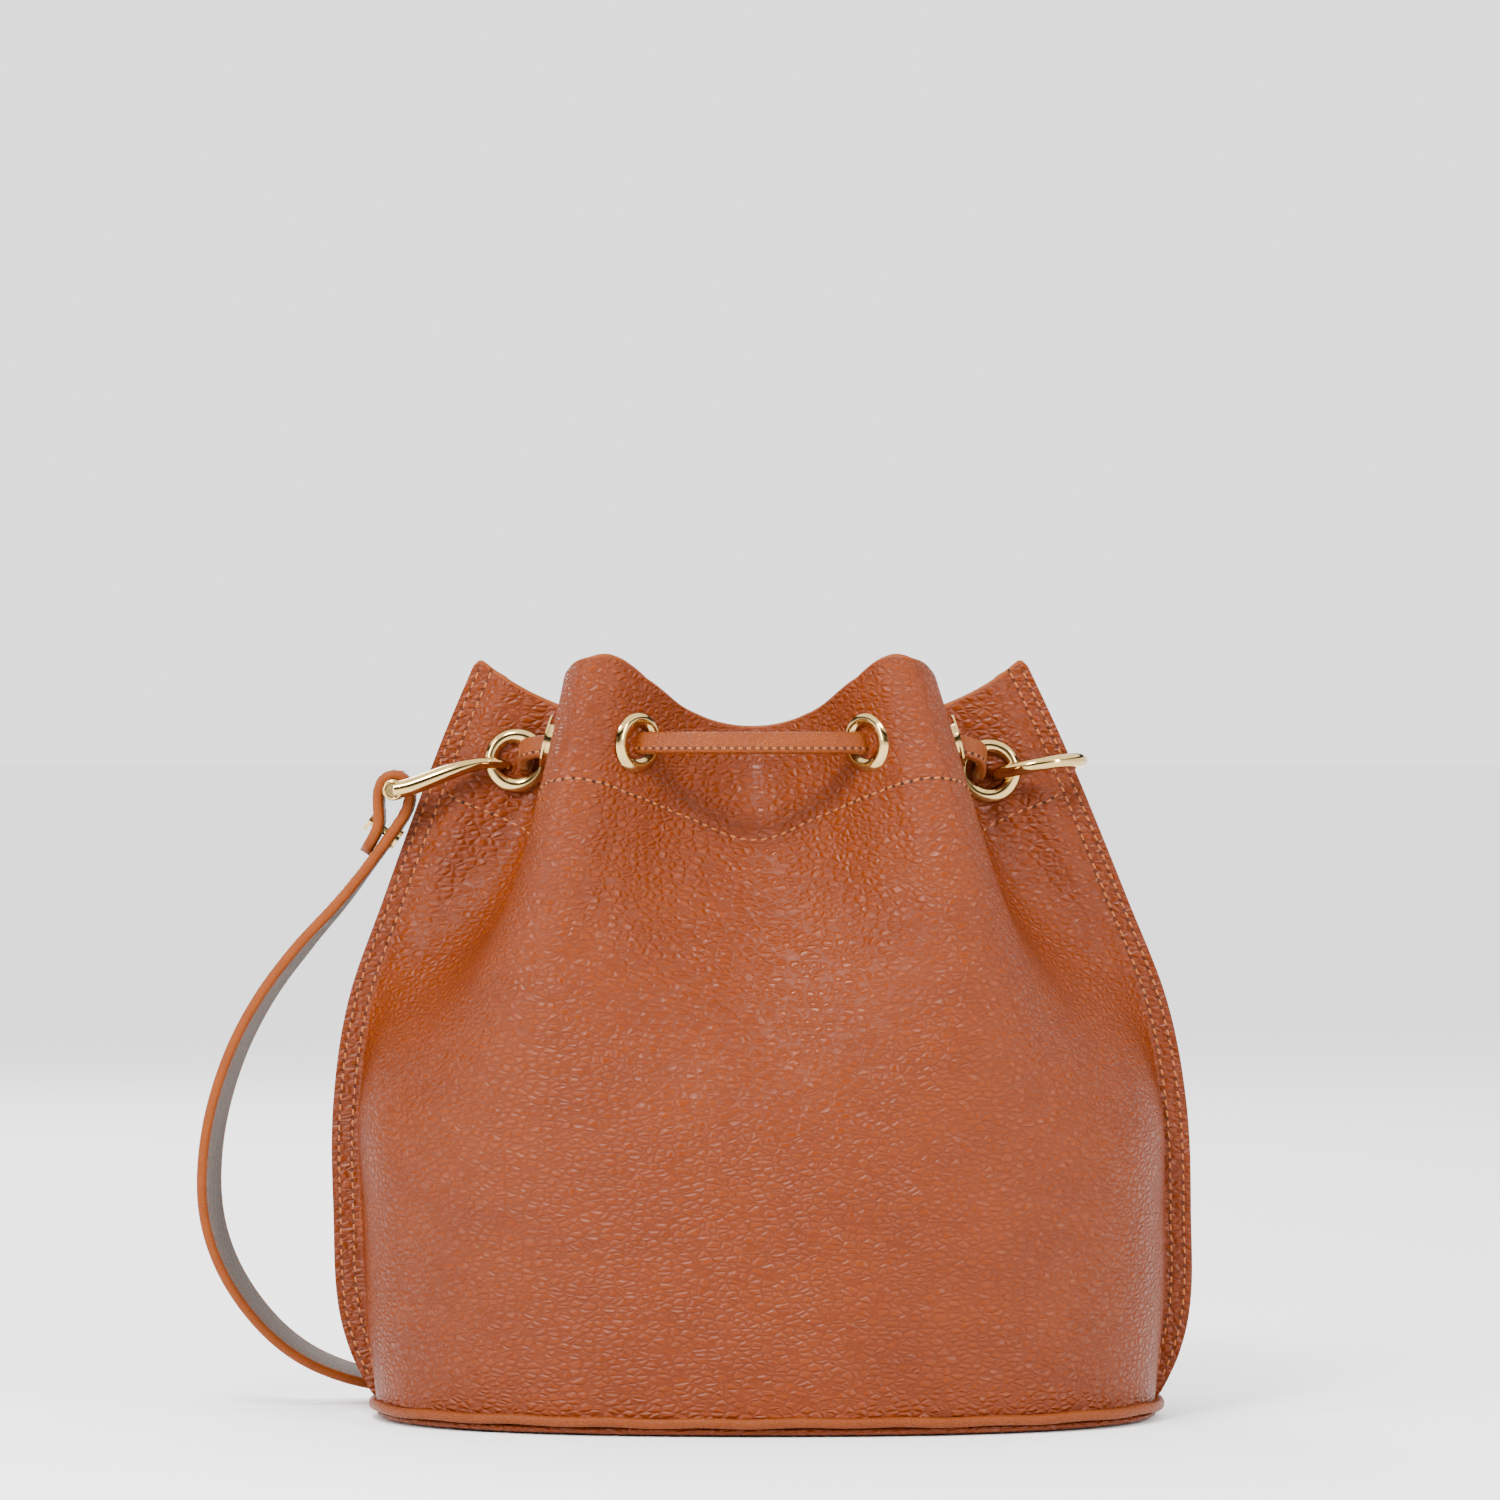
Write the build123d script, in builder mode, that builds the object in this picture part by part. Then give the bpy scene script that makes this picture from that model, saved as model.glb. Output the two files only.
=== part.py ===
from build123d import *
from math import cos, hypot, pi, radians, sin, tan
import os

# A drawstring bucket bag of pebbled leather, drawn shut. Millimetres, +Z up, -Y the plain front.
# The origin is the middle of the base, on the surface that the bag stands on.

os.makedirs("parts", exist_ok=True)

# ---------------------------------------------------------------- driving dimensions
leather = 1.8  # thickness of the body leather
glue_gap = 0.25  # between the body leather and what is sewn inside it
facing = 1.0  # leather band sewn inside the mouth
lining = 0.5  # cloth lining below the facing
pocket_gap = 0.3  # between the lining and the pocket
pocket_cloth = 0.8  # slip pocket on the back lining
lean = -4.7 / 220  # sideways slump of the bag, mm per mm of height

base_half_length = 113.0
base_half_depth = 65.0
base_leather = 2.0  # leather under the base
welt_thickness = 3.0  # raw edge where the body is sewn to the base
welt_reach = 1.8  # how far the welt stands out of the body
welt_seam = 3.0  # how far the welt reaches in under the body
board = 2.0  # stiffener in the base
pocket_width = 110.0
pocket_height = 85.0
pocket_middle = 75.0
mouth_thickness = leather + glue_gap + facing
body_bottom = base_leather + welt_thickness
facing_bottom = 166.0

body_power = 2 / 2.3  # the lower body is a superellipse of power 2.3
oval_angles = [3, 11, 19, 26, 34, 43, 52, 60, 69, 80, 90]

wing_eyelet_hole = 5.15  # radii of the eyelets on the wings
wing_eyelet_outer = 9.5
wing_eyelet_dome = 1.9
flat_eyelet_hole = 4.6  # radii of the eyelets on the bulges
flat_eyelet_outer = 8.75
flat_eyelet_dome = 1.3
barrel_wall = 0.5
washer_width = 2.6
washer_thickness = 0.5
wing_eyelet_x = 68.5
wing_face = 3.8  # the wings of front and back lie this far from the seam plane
wing_eyelet_z = {"left": 190.0, "right": 187.0}
bulge_eyelet_z = 195.0

cord_height = 5.6  # folded and stitched flat drawstring
cord_thickness = 2.8
cord_beside = 3.4  # the two ends hang this far either side of the middle

slider_down = 20.0  # from the level of the eyelets to the middle of the slider
slider_width = 20.0
slider_depth = 9.4
slider_bore_width = 13.8
slider_bore_depth = 4.5
slider_length = 13.0
tip_width = 6.2
tip_depth = 4.6
tip_length = 14.0

strap_width = 15.0
strap_thickness = 3.0
skived = 2.0  # the strap is thinned where it goes through the ring

rivet_post = 1.2
rivet_cap = 3.2
rivet_cap_height = 1.0
loop_right_x = 78.8

pin_centre = (-108.0, 0, 181.4)
pin_radius = 2.0
pin_head_radius = 2.8
pin_head = 1.3
pin_slot = 0.6
pin_dimple = 1.1
pin_clearance = 0.05
shackle_half_gap = 8.0  # inner faces of the arms, either side of the strap
shackle_boss_radius = 3.0
shackle_boss_depth = 4.4
shackle_thin = 1.4  # radius of the wire in the eyelet
shackle_thick = 2.0  # radius of the arm at the boss
shackle_bend = 7.0

ring_wire = 2.0  # radius of the wire of the O-ring
ring_radius = 13.05  # radius of its centreline
ring_lift = 10.3  # degrees that the ring stands up from level
ring_roll = 6.0  # degrees that its front half stands above its rear half


# ---------------------------------------------------------------- shape of the leather body
def oval(half_length, half_depth):
    """Lower body: points from the side seam to the middle of the front."""
    points = [
        (
            half_length * cos(radians(angle)) ** body_power,
            -half_depth * sin(radians(angle)) ** body_power,
        )
        for angle in oval_angles[:-1]
    ]
    return points + [(0, -half_depth)]


# Each section is (height, tip of the seam flange, crease beside the flange, points of the outer face).
# The points run from the side seam to the middle of the front: wing, pleat, bulge and centre valley.
pleated_120 = [(109, -5), (103, -12), (97, -18), (91, -25.5), (86.5, -34), (81, -43.5)]
pleated_120 += [(73.5, -53), (64, -58.5), (50, -60), (26, -56), (0, -53)]
pleated_150 = [(97, -wing_face), (85, -5.5), (76, -9.5), (71.5, -16), (70.5, -28), (70, -42)]
pleated_150 += [(64, -52.5), (54, -55.5), (42, -51), (22, -40), (0, -34)]
pleated_180 = [(86, -wing_face), (74, -wing_face), (64, -wing_face), (60, -9), (60, -25), (61.5, -42)]
pleated_180 += [(55.5, -51.3), (47, -51.2), (35.5, -43.5), (17.5, -27), (0, -18)]
pleated_195 = [(80, -wing_face), (69, -wing_face), (59, -wing_face), (55.3, -8), (56.3, -25), (57.5, -42)]
pleated_195 += [(51, -50.5), (43, -49), (32.5, -40), (16, -22), (0, -12.5)]
pleated_222 = [(69, -wing_face), (61, -wing_face), (53.5, -wing_face), (50, -7), (50, -24), (50.3, -41)]
pleated_222 += [(45, -48.5), (38, -47.5), (28.5, -39), (14, -21), (0, -10)]

sections = [
    (body_bottom, 115.5, 113, oval(113, 65)),
    (25, 122.5, 115, oval(115, 66.5)),
    (60, 124.6, 116.5, oval(116.5, 67.3)),
    (90, 124, 116, oval(116, 66)),
    (120, 119, 112, pleated_120),
    (150, 108, 101, pleated_150),
    (180, 96.5, 89.5, pleated_180),
    (195, 90.5, 83.5, pleated_195),
    (222, 78.5, 71.5, pleated_222),
]


def inset(points, depth):
    """The smooth line moved into the bag by depth, square to itself."""
    mirrored = points + [(-points[-2][0], points[-2][1])]
    moved = []
    for i, (x, y) in enumerate(points):
        before = mirrored[max(i - 1, 0)]
        after = mirrored[i + 1]
        dx = after[0] - before[0]
        dy = after[1] - before[1]
        length = hypot(dx, dy)
        moved.append((x + depth * dy / length, y - depth * dx / length))
    return moved


def across(right_half, height):
    """Both halves of a line, from the right to the left, with the lean of the bag."""
    left_half = [(-x, y) for x, y in right_half[-2::-1]]
    return [(x + lean * height, y) for x, y in right_half + left_half]


def flanged_sheet(thickness):
    """One leather panel with its side-seam flanges, its inner face on the plane of the seams."""
    with BuildPart() as sheet:
        for height, tip, crease, points in sections:
            shift = lean * height
            outer = across([(crease, -thickness)] + points, height)
            inner = across([(crease - thickness, 0)] + inset(points, thickness), height)
            with BuildSketch(Plane.XY.offset(height)):
                with BuildLine():
                    Line((tip + shift, -thickness), outer[0])
                    Spline(*outer)
                    Line(outer[-1], (-tip + shift, -thickness))
                    Line((-tip + shift, -thickness), (-tip + shift, 0))
                    Line((-tip + shift, 0), inner[-1])
                    Spline(*inner[::-1])
                    Line(inner[0], (tip + shift, 0))
                    Line((tip + shift, 0), (tip + shift, -thickness))
                make_face()
        loft(ruled=True)
    return sheet.part


def inner_sheet(depth, thickness):
    """A layer inside the leather panel: it starts depth under the outer face."""
    with BuildPart() as sheet:
        for height, _, _, points in sections:
            outer = across(inset(points, depth), height)
            inner = across(inset(points, depth + thickness), height)
            with BuildSketch(Plane.XY.offset(height)):
                with BuildLine():
                    Spline(*outer)
                    Line(outer[-1], inner[-1])
                    Spline(*inner[::-1])
                    Line(inner[0], outer[0])
                make_face()
        loft(ruled=True)
    return sheet.part


bag_rim = 220.0
above = 240.0  # clear of the whole bag
centre_rim = [(-37, 219.4), (-31.4, 215.2), (-24.6, 209.5), (-17.2, 203.9), (0, 200.2)]
centre_rim += [(-x, z) for x, z in centre_rim[-2::-1]]
wing_rim = ((55, 205.5), (90, 225.5))  # the wings' cut edge rises outwards along this line
wing_rim_depth = 14.0
pleat_rim_x = 51.0
pleat_rim_half_width = 6.0
pleat_rim = ((10, 202.0), (38, bag_rim))  # low behind the bulge, up to its top


def mouth_waste():
    """Everything above the rim: high at the bulges, low in the pleats and in the centre valley."""
    top = lean * bag_rim
    with BuildPart() as waste:
        with BuildSketch(Plane.XZ):
            with BuildLine():
                Spline(*[(x + top, z) for x, z in centre_rim])
                Polyline(
                    (centre_rim[-1][0] + top, centre_rim[-1][1]),
                    (45 + top, bag_rim),
                    (45 + top, above),
                    (-45 + top, above),
                    (-45 + top, bag_rim),
                    (centre_rim[0][0] + top, centre_rim[0][1]),
                )
            make_face()
        extrude(amount=base_half_depth, both=True)
        for side in (-1, 1):
            with BuildSketch(Plane.XZ):
                with BuildLine():
                    Polyline(
                        (side * wing_rim[0][0] + top, wing_rim[0][1]),
                        (side * wing_rim[1][0] + top, wing_rim[1][1]),
                        (side * wing_rim[1][0] + top, above),
                        (side * wing_rim[0][0] + top, above),
                        close=True,
                    )
                make_face()
            extrude(amount=wing_rim_depth, both=True)
            with BuildSketch(Plane.YZ.offset(side * pleat_rim_x + top)):
                with BuildLine():
                    Polyline(
                        (-pleat_rim[1][0], pleat_rim[1][1]),
                        (-pleat_rim[0][0], pleat_rim[0][1]),
                        pleat_rim[0],
                        pleat_rim[1],
                        (pleat_rim[1][0], above),
                        (-pleat_rim[1][0], above),
                        close=True,
                    )
                make_face()
            extrude(amount=pleat_rim_half_width, both=True)
        with BuildSketch(Plane.XY.offset(bag_rim)):
            Rectangle(260, 150)
        extrude(amount=above - bag_rim)
    return waste.part


# ---------------------------------------------------------------- seats of the eyelets
def seat(points_index, height_index, side, face):
    """Plane on the outer face at one point of a section, its Z axis out of the leather."""
    height, _, _, points = sections[height_index]
    below = sections[height_index - 1]
    over = sections[height_index + 1]
    x, y = points[points_index]
    along = Vector(
        points[points_index + 1][0] - points[points_index - 1][0],
        points[points_index + 1][1] - points[points_index - 1][1],
        0,
    )
    up = Vector(
        over[3][points_index][0] - below[3][points_index][0],
        over[3][points_index][1] - below[3][points_index][1],
        over[0] - below[0],
    )
    out = along.cross(up)
    if out.Y > 0:
        out = out * -1
    origin = (side * x + lean * height, face * y, height)
    return Plane(origin=origin, z_dir=(side * out.X, -face * out.Y * -1, out.Z))


eyelet_seats = {}
for face_name, face in (("front", 1), ("back", -1)):
    for side_name, side in (("left", -1), ("right", 1)):
        wing_z = wing_eyelet_z[side_name]
        wing_seat = Plane(
            origin=(side * wing_eyelet_x + lean * wing_z, -wing_face * face, wing_z),
            z_dir=(0, -face, 0),
        )
        name = f"{face_name}_{side_name}"
        eyelet_seats[f"eyelet_{name}_wing"] = (wing_seat, face, "wing")
        eyelet_seats[f"eyelet_{name}_pleat"] = (seat(4, 7, side, face), face, "flat")
        eyelet_seats[f"eyelet_{name}_centre"] = (seat(8, 7, side, face), face, "flat")

eyelet_sizes = {
    "wing": (wing_eyelet_hole, wing_eyelet_outer, wing_eyelet_dome),
    "flat": (flat_eyelet_hole, flat_eyelet_outer, flat_eyelet_dome),
}


def eyelet_waste(seats):
    """Holes for the barrels, with a flat seat for each rim outside and each washer inside."""
    with BuildPart() as waste:
        for plane, kind in seats:
            hole, outer, _ = eyelet_sizes[kind]
            barrel = hole + barrel_wall
            with BuildSketch(plane.offset(-6)):
                Circle(barrel)
            extrude(amount=10)
            with BuildSketch(plane):
                Circle(outer + 0.15)
            extrude(amount=4)
            with BuildSketch(plane.offset(washer_thickness - mouth_thickness)):
                Circle(barrel + washer_width + 0.15)
            extrude(amount=-3)
    return waste.part


# ---------------------------------------------------------------- body, facing, lining
front_seats = [(plane, kind) for plane, face, kind in eyelet_seats.values() if face == 1]
holes = eyelet_waste(front_seats)
rim_waste = mouth_waste()

with BuildPart() as front_panel:
    add(flanged_sheet(leather))
    add(holes, mode=Mode.SUBTRACT)
    add(rim_waste, mode=Mode.SUBTRACT)
front_panel.part.label = "front_panel"
export_step(front_panel.part, "parts/front_panel.step")

with BuildPart() as front_facing:
    add(inner_sheet(leather + glue_gap, facing))
    split(bisect_by=Plane.XY.offset(facing_bottom), keep=Keep.TOP)
    add(holes, mode=Mode.SUBTRACT)
    add(rim_waste, mode=Mode.SUBTRACT)
front_facing.part.label = "front_facing"
export_step(front_facing.part, "parts/front_facing.step")

with BuildPart() as front_lining:
    add(inner_sheet(leather + glue_gap, lining))
    split(bisect_by=Plane.XY.offset(facing_bottom - glue_gap), keep=Keep.BOTTOM)
front_lining.part.label = "front_lining"
export_step(front_lining.part, "parts/front_lining.step")

for front, back_name in (
    (front_panel, "back_panel"),
    (front_facing, "back_facing"),
    (front_lining, "back_lining"),
):
    with BuildPart() as back:
        add(front.part)
        mirror(about=Plane.XZ, mode=Mode.REPLACE)
    back.part.label = back_name
    export_step(back.part, f"parts/{back_name}.step")

# Slip pocket on the back lining.
pocket_depth = leather + glue_gap + lining + pocket_gap
with BuildPart() as inner_pocket:
    add(inner_sheet(pocket_depth, pocket_cloth))
    mirror(about=Plane.XZ, mode=Mode.REPLACE)
    with Locations((0, base_half_depth, pocket_middle)):
        Box(pocket_width, base_half_depth, pocket_height, mode=Mode.INTERSECT)
inner_pocket.part.label = "inner_pocket"
export_step(inner_pocket.part, "parts/inner_pocket.step")


# ---------------------------------------------------------------- base
def base_plate(name, bottom, thickness, half_length, half_depth, hole=None):
    """Oval plate of the base, or an oval ring when hole gives its inner half length and depth."""
    with BuildPart() as plate:
        with BuildSketch(Plane.XY.offset(bottom)):
            with BuildLine():
                front = across(oval(half_length, half_depth), bottom)
                Spline(*front, *[(x, -y) for x, y in front[::-1]], periodic=True)
            make_face()
            if hole:
                with BuildLine():
                    front = across(oval(*hole), bottom)
                    Spline(*front, *[(x, -y) for x, y in front[::-1]], periodic=True)
                make_face(mode=Mode.SUBTRACT)
        extrude(amount=thickness)
    plate.part.label = name
    export_step(plate.part, f"parts/{name}.step")


base_plate("base_panel", 0, base_leather, base_half_length, base_half_depth)
welt_hole = (base_half_length - welt_seam, base_half_depth - welt_seam)
welt_size = (base_half_length + welt_reach, base_half_depth + welt_reach)
base_plate("base_welt", base_leather, welt_thickness, *welt_size, hole=welt_hole)
board_size = (welt_hole[0] - lining, welt_hole[1] - lining)
base_plate("base_stiffener", base_leather, board, *board_size)
base_plate("base_lining", base_leather + board, lining, *board_size)

# ---------------------------------------------------------------- eyelets and their washers
for name, (plane, face, kind) in eyelet_seats.items():
    hole, outer, dome = eyelet_sizes[kind]
    profile = Plane(origin=plane.origin, x_dir=plane.x_dir, z_dir=-plane.y_dir)
    with BuildPart() as eyelet:
        with BuildSketch(profile):
            with BuildLine():
                Line((hole, -mouth_thickness), (hole, dome / 3))
                ThreePointArc((hole, dome / 3), ((hole + outer) / 2, dome), (outer, 0.05))
                Line((outer, 0.05), (hole + barrel_wall - 0.05, 0.05))
                Line((hole + barrel_wall - 0.05, 0.05), (hole + barrel_wall - 0.05, -mouth_thickness))
                Line((hole + barrel_wall - 0.05, -mouth_thickness), (hole, -mouth_thickness))
            make_face()
        revolve(axis=Axis(plane.origin, plane.z_dir))
    eyelet.part.label = name
    export_step(eyelet.part, f"parts/{name}.step")

for face_name, wanted in (("front", 1), ("back", -1)):
    with BuildPart() as washers:
        for plane, face, kind in eyelet_seats.values():
            if face != wanted:
                continue
            barrel = eyelet_sizes[kind][0] + barrel_wall
            with BuildSketch(plane.offset(-mouth_thickness)):
                Circle(barrel + washer_width)
                Circle(barrel, mode=Mode.SUBTRACT)
            extrude(amount=washer_thickness - 0.02)
    washers.part.label = f"eyelet_washers_{face_name}"
    export_step(washers.part, f"parts/eyelet_washers_{face_name}.step")


# ---------------------------------------------------------------- drawstring
def right_of(x, y, z):
    return (x + lean * z, y, z)


# Half of the route, from the middle of the front to the free end behind, for the right side.
wing_cord_x = wing_eyelet_x - 2.5
half_route = {
    side: [
        (side * 27.5, -46.5, bulge_eyelet_z),
        (side * 43.0, -25.5, bulge_eyelet_z),
        (side * wing_cord_x, -25, bulge_eyelet_z - 1),
        (side * wing_cord_x, -9, wing_eyelet_z[side_name] + 0.3),
        (side * wing_cord_x, 9, wing_eyelet_z[side_name] + 0.3),
        (side * wing_cord_x, 25, bulge_eyelet_z - 1),
        (side * 43.0, 25.5, bulge_eyelet_z),
        (side * 27.5, 46.5, bulge_eyelet_z),
        (side * cord_beside, 48, bulge_eyelet_z - 4),
        (side * cord_beside, 71, 92),
    ]
    for side_name, side in (("left", -1), ("right", 1))
}
half_radii = [7, 12, 6.5, 9, 9, 6.5, 12, 7, 5]

route = [right_of(*point) for point in half_route[-1][::-1] + half_route[1]]
radii = half_radii[::-1] + half_radii
with BuildPart() as drawstring:
    with BuildLine() as cord_path:
        FilletPolyline(*route, radius=radii)
    middle = cord_path.line @ 0.5
    with BuildSketch(Plane(origin=middle, x_dir=(0, 1, 0), z_dir=(1, 0, 0))):
        Rectangle(cord_thickness, cord_height)
    sweep(path=cord_path.line)
drawstring.part.label = "drawstring"
export_step(drawstring.part, "parts/drawstring.step")
drawstring_run = cord_path.wire().length
print("drawstring radii", radii, "length", round(drawstring_run, 1))
print("drawstring volume over section", round(drawstring.part.volume / cord_thickness / cord_height, 1))

# Both free ends run down through one slider; tips close them.
end_top = Vector(right_of(0, *half_route[1][-2][1:]))
end_foot = Vector(right_of(0, *half_route[1][-1][1:]))
end_way = (end_foot - end_top).normalized()
slider_seat = Plane(origin=end_top + end_way * slider_down, x_dir=(1, 0, 0), z_dir=end_way)
with BuildPart() as cord_slider:
    with BuildSketch(slider_seat):
        RectangleRounded(slider_width, slider_depth, slider_depth / 3)
        Rectangle(slider_bore_width, slider_bore_depth, mode=Mode.SUBTRACT)
    extrude(amount=slider_length / 2, both=True)
cord_slider.part.label = "cord_slider"
export_step(cord_slider.part, "parts/cord_slider.step")

for side_name, side in (("left", -1), ("right", 1)):
    with BuildPart() as tip:
        tip_origin = end_foot + Vector(side * cord_beside, 0, 0)
        with BuildSketch(Plane(origin=tip_origin, x_dir=(1, 0, 0), z_dir=end_way)):
            RectangleRounded(tip_width, tip_depth, 1)
        extrude(amount=tip_length)
        fillet(tip.faces().sort_by(Axis.Z)[0].edges(), radius=0.8)
    tip.part.label = f"drawstring_tip_{side_name}"
    export_step(tip.part, f"parts/drawstring_tip_{side_name}.step")

# ---------------------------------------------------------------- left shackle and its pin
left_eyelet = Vector(-wing_eyelet_x + lean * wing_eyelet_z["left"], 0, wing_eyelet_z["left"])
shackle_pivot = left_eyelet + Vector(-1.6, 0, -2.6)
shackle_way = (Vector(*pin_centre) - shackle_pivot).normalized()
shackle_reach = (Vector(*pin_centre) - shackle_pivot).length
shackle_plane = Plane(origin=shackle_pivot, x_dir=shackle_way, z_dir=shackle_way.cross(Vector(0, 1, 0)))
arm_offset = shackle_half_gap + shackle_thick
straight = arm_offset - shackle_bend
with BuildPart() as left_shackle:
    with BuildLine(shackle_plane) as bow:
        RadiusArc((shackle_bend, -arm_offset), (0, -straight), shackle_bend)
        Line((0, -straight), (0, straight))
        RadiusArc((0, straight), (shackle_bend, arm_offset), shackle_bend)
    with BuildSketch(Plane(origin=shackle_pivot, z_dir=(0, 1, 0))):
        Circle(shackle_thin)
    sweep(path=bow.line)
    for side in (-1, 1):
        arm_start = shackle_pivot + shackle_way * shackle_bend + Vector(0, side * arm_offset, 0)
        with BuildSketch(Plane(origin=arm_start, z_dir=shackle_way)):
            Circle(shackle_thin)
        bend_start = arm_start + shackle_way * (shackle_reach - shackle_bend)
        with BuildSketch(Plane(origin=bend_start, z_dir=shackle_way)):
            Circle(shackle_thick)
        loft()
        boss_centre = Vector(*pin_centre) + Vector(0, side * (shackle_half_gap + shackle_boss_depth / 2), 0)
        with BuildSketch(Plane(origin=boss_centre, z_dir=(0, 1, 0))):
            Circle(shackle_boss_radius)
        extrude(amount=shackle_boss_depth / 2, both=True)
    with BuildSketch(Plane(origin=pin_centre, z_dir=(0, 1, 0))):
        Circle(pin_radius)
    extrude(amount=shackle_half_gap + shackle_boss_depth, both=True, mode=Mode.SUBTRACT)
left_shackle.part.label = "left_shackle"
export_step(left_shackle.part, "parts/left_shackle.step")

pin_half = shackle_half_gap + shackle_boss_depth
with BuildPart() as shackle_pin:
    with BuildSketch(Plane(origin=pin_centre, z_dir=(0, 1, 0))):
        Circle(pin_radius - pin_clearance)
    extrude(amount=pin_half, both=True)
    with BuildSketch(Plane(origin=Vector(*pin_centre) + Vector(0, pin_half + 0.1, 0), z_dir=(0, 1, 0))):
        Circle(pin_head_radius)
    extrude(amount=pin_head)
    with BuildSketch(Plane(origin=Vector(*pin_centre) + Vector(0, pin_half, 0), z_dir=(0, 1, 0))):
        Circle(pin_radius - pin_clearance)
    extrude(amount=0.1)
    with BuildSketch(Plane(origin=Vector(*pin_centre) - Vector(0, pin_half, 0), z_dir=(0, 1, 0))):
        Circle(pin_dimple)
    extrude(amount=1.2, mode=Mode.SUBTRACT)
    slot_origin = Vector(*pin_centre) + Vector(0, pin_half + 0.1 + pin_head, 0)
    with BuildSketch(Plane(origin=slot_origin, z_dir=(0, 1, 0))):
        Rectangle(2 * pin_head_radius, pin_slot)
    extrude(amount=-pin_slot, mode=Mode.SUBTRACT)
shackle_pin.part.label = "shackle_pin"
export_step(shackle_pin.part, "parts/shackle_pin.step")

# ---------------------------------------------------------------- right ring
right_eyelet = Vector(wing_eyelet_x + lean * wing_eyelet_z["right"], 0, wing_eyelet_z["right"])
ring_pivot = right_eyelet + Vector(1.2, 0, -1.9)
ring_way = Vector(cos(radians(ring_lift)), 0, sin(radians(ring_lift)))
ring_side = Vector(0, cos(radians(ring_roll)), 0)
ring_side += Vector(-ring_way.Z, 0, ring_way.X) * -sin(radians(ring_roll))
ring_centre = ring_pivot + ring_way * ring_radius
ring_plane = Plane(origin=ring_centre, x_dir=ring_way, z_dir=ring_way.cross(ring_side))
with BuildPart() as right_ring:
    with BuildSketch(Plane(origin=ring_pivot, x_dir=ring_way, z_dir=ring_side)):
        Circle(ring_wire)
    revolve(axis=Axis(ring_plane.origin, ring_plane.z_dir))
right_ring.part.label = "right_ring"
export_step(right_ring.part, "parts/right_ring.step")

# ---------------------------------------------------------------- strap: riveted loops, and the run between
loop_left_line = [(-116.4, 158.1), (-112.6, 163.3), (-107.5, 170.3), (-103.9, 176.0), (-103.2, 181.5)]
loop_left_line += [(-106.3, 186.0), (-110.8, 185.4), (-112.8, 181.0), (-112.6, 175.5), (-112.3, 171.5)]
loop_left_line += [(-114.2, 167.3), (-116.9, 163.2)]
loop_right_line = [(22.5, 163.0), (19.3, 172.0), (17.5, 181.0), (16.7, 188.2), (12.4, 191.3)]
loop_right_line += [(7.9, 188.2), (7.6, 181.5), (10.6, 175.5), (14.2, 170.0), (17.0, 163.5)]
rivet_left = Plane(origin=(-110.2, 0, 168.9), z_dir=(0.809, 0, -0.587))
rivet_right = Plane(origin=(loop_right_x, 18.2, 169.4), z_dir=(0, 0.94, 0.34))


def beside(line, distance):
    """The open line moved sideways by distance."""
    moved = []
    for i, (x, y) in enumerate(line):
        before = line[max(i - 1, 0)]
        after = line[min(i + 1, len(line) - 1)]
        run = hypot(after[0] - before[0], after[1] - before[1])
        step = distance / run
        moved.append((x + step * (after[1] - before[1]), y - step * (after[0] - before[0])))
    return moved


loops = {
    "left": (Plane.XZ, loop_left_line, strap_thickness, rivet_left, -5.5, 2.95),
    "right": (Plane.YZ.offset(loop_right_x), loop_right_line, skived, rivet_right, -4.6, 3.2),
}
for side_name, (plane, line, thickness, rivet_plane, low, high) in loops.items():
    with BuildPart() as loop:
        with BuildSketch(plane):
            with BuildLine():
                face_a = beside(line, thickness / 2)
                face_b = beside(line, -thickness / 2)
                Spline(*face_a)
                Line(face_a[-1], face_b[-1])
                Spline(*face_b[::-1])
                Line(face_b[0], face_a[0])
            make_face()
        extrude(amount=strap_width / 2, both=True)
        with BuildSketch(rivet_plane):
            Circle(rivet_post + 0.1)
        extrude(amount=8, both=True, mode=Mode.SUBTRACT)
    loop.part.label = f"strap_loop_{side_name}"
    export_step(loop.part, f"parts/strap_loop_{side_name}.step")
    with BuildPart() as rivet:
        with BuildSketch(rivet_plane.offset(low)):
            Circle(rivet_post)
        extrude(amount=high - low)
        with BuildSketch(rivet_plane.offset(high)):
            Circle(rivet_cap)
        extrude(amount=rivet_cap_height)
        with BuildSketch(rivet_plane.offset(low)):
            Circle(rivet_cap)
        extrude(amount=-rivet_cap_height)
    rivet.part.label = f"strap_rivet_{side_name}"
    export_step(rivet.part, f"parts/strap_rivet_{side_name}.step")

# The strap's own route, from the left loop round behind the bag to the right loop. Its solid is a round
# tube with the section of the flat strap.
strap_route = [
    (-116.7, 0, 157.7),
    (-124.0, 0.5, 148.2),
    (-134.5, 1, 136.8),
    (-147.0, 2, 120.5),
    (-156.5, 4, 101.5),
    (-162.5, 7, 79.0),
    (-163.0, 11, 56.0),
    (-155.5, 17, 35.5),
    (-140.5, 26, 17.0),
    (-121.0, 38, 7.0),
    (-101.0, 55, 4.2),
    (-75.0, 70, 3.9),
    (-46.0, 79, 3.9),
    (-14.0, 82.5, 3.9),
    (20.0, 81.5, 3.9),
    (50.0, 80, 3.9),
    (76.0, 73, 4.8),
    (93.0, 66, 13.0),
    (98.0, 60, 31.0),
    (96.0, 57, 53.0),
    (93.0, 55, 76.0),
    (90.0, 52.5, 98.0),
    (86.0, 44.5, 118.0),
    (81.5, 35, 136.0),
    (79.2, 27.5, 150.5),
    (78.8, 22.7, 162.7),
]
corners = [Vector(*point) for point in strap_route]
strap_radii = []
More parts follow.
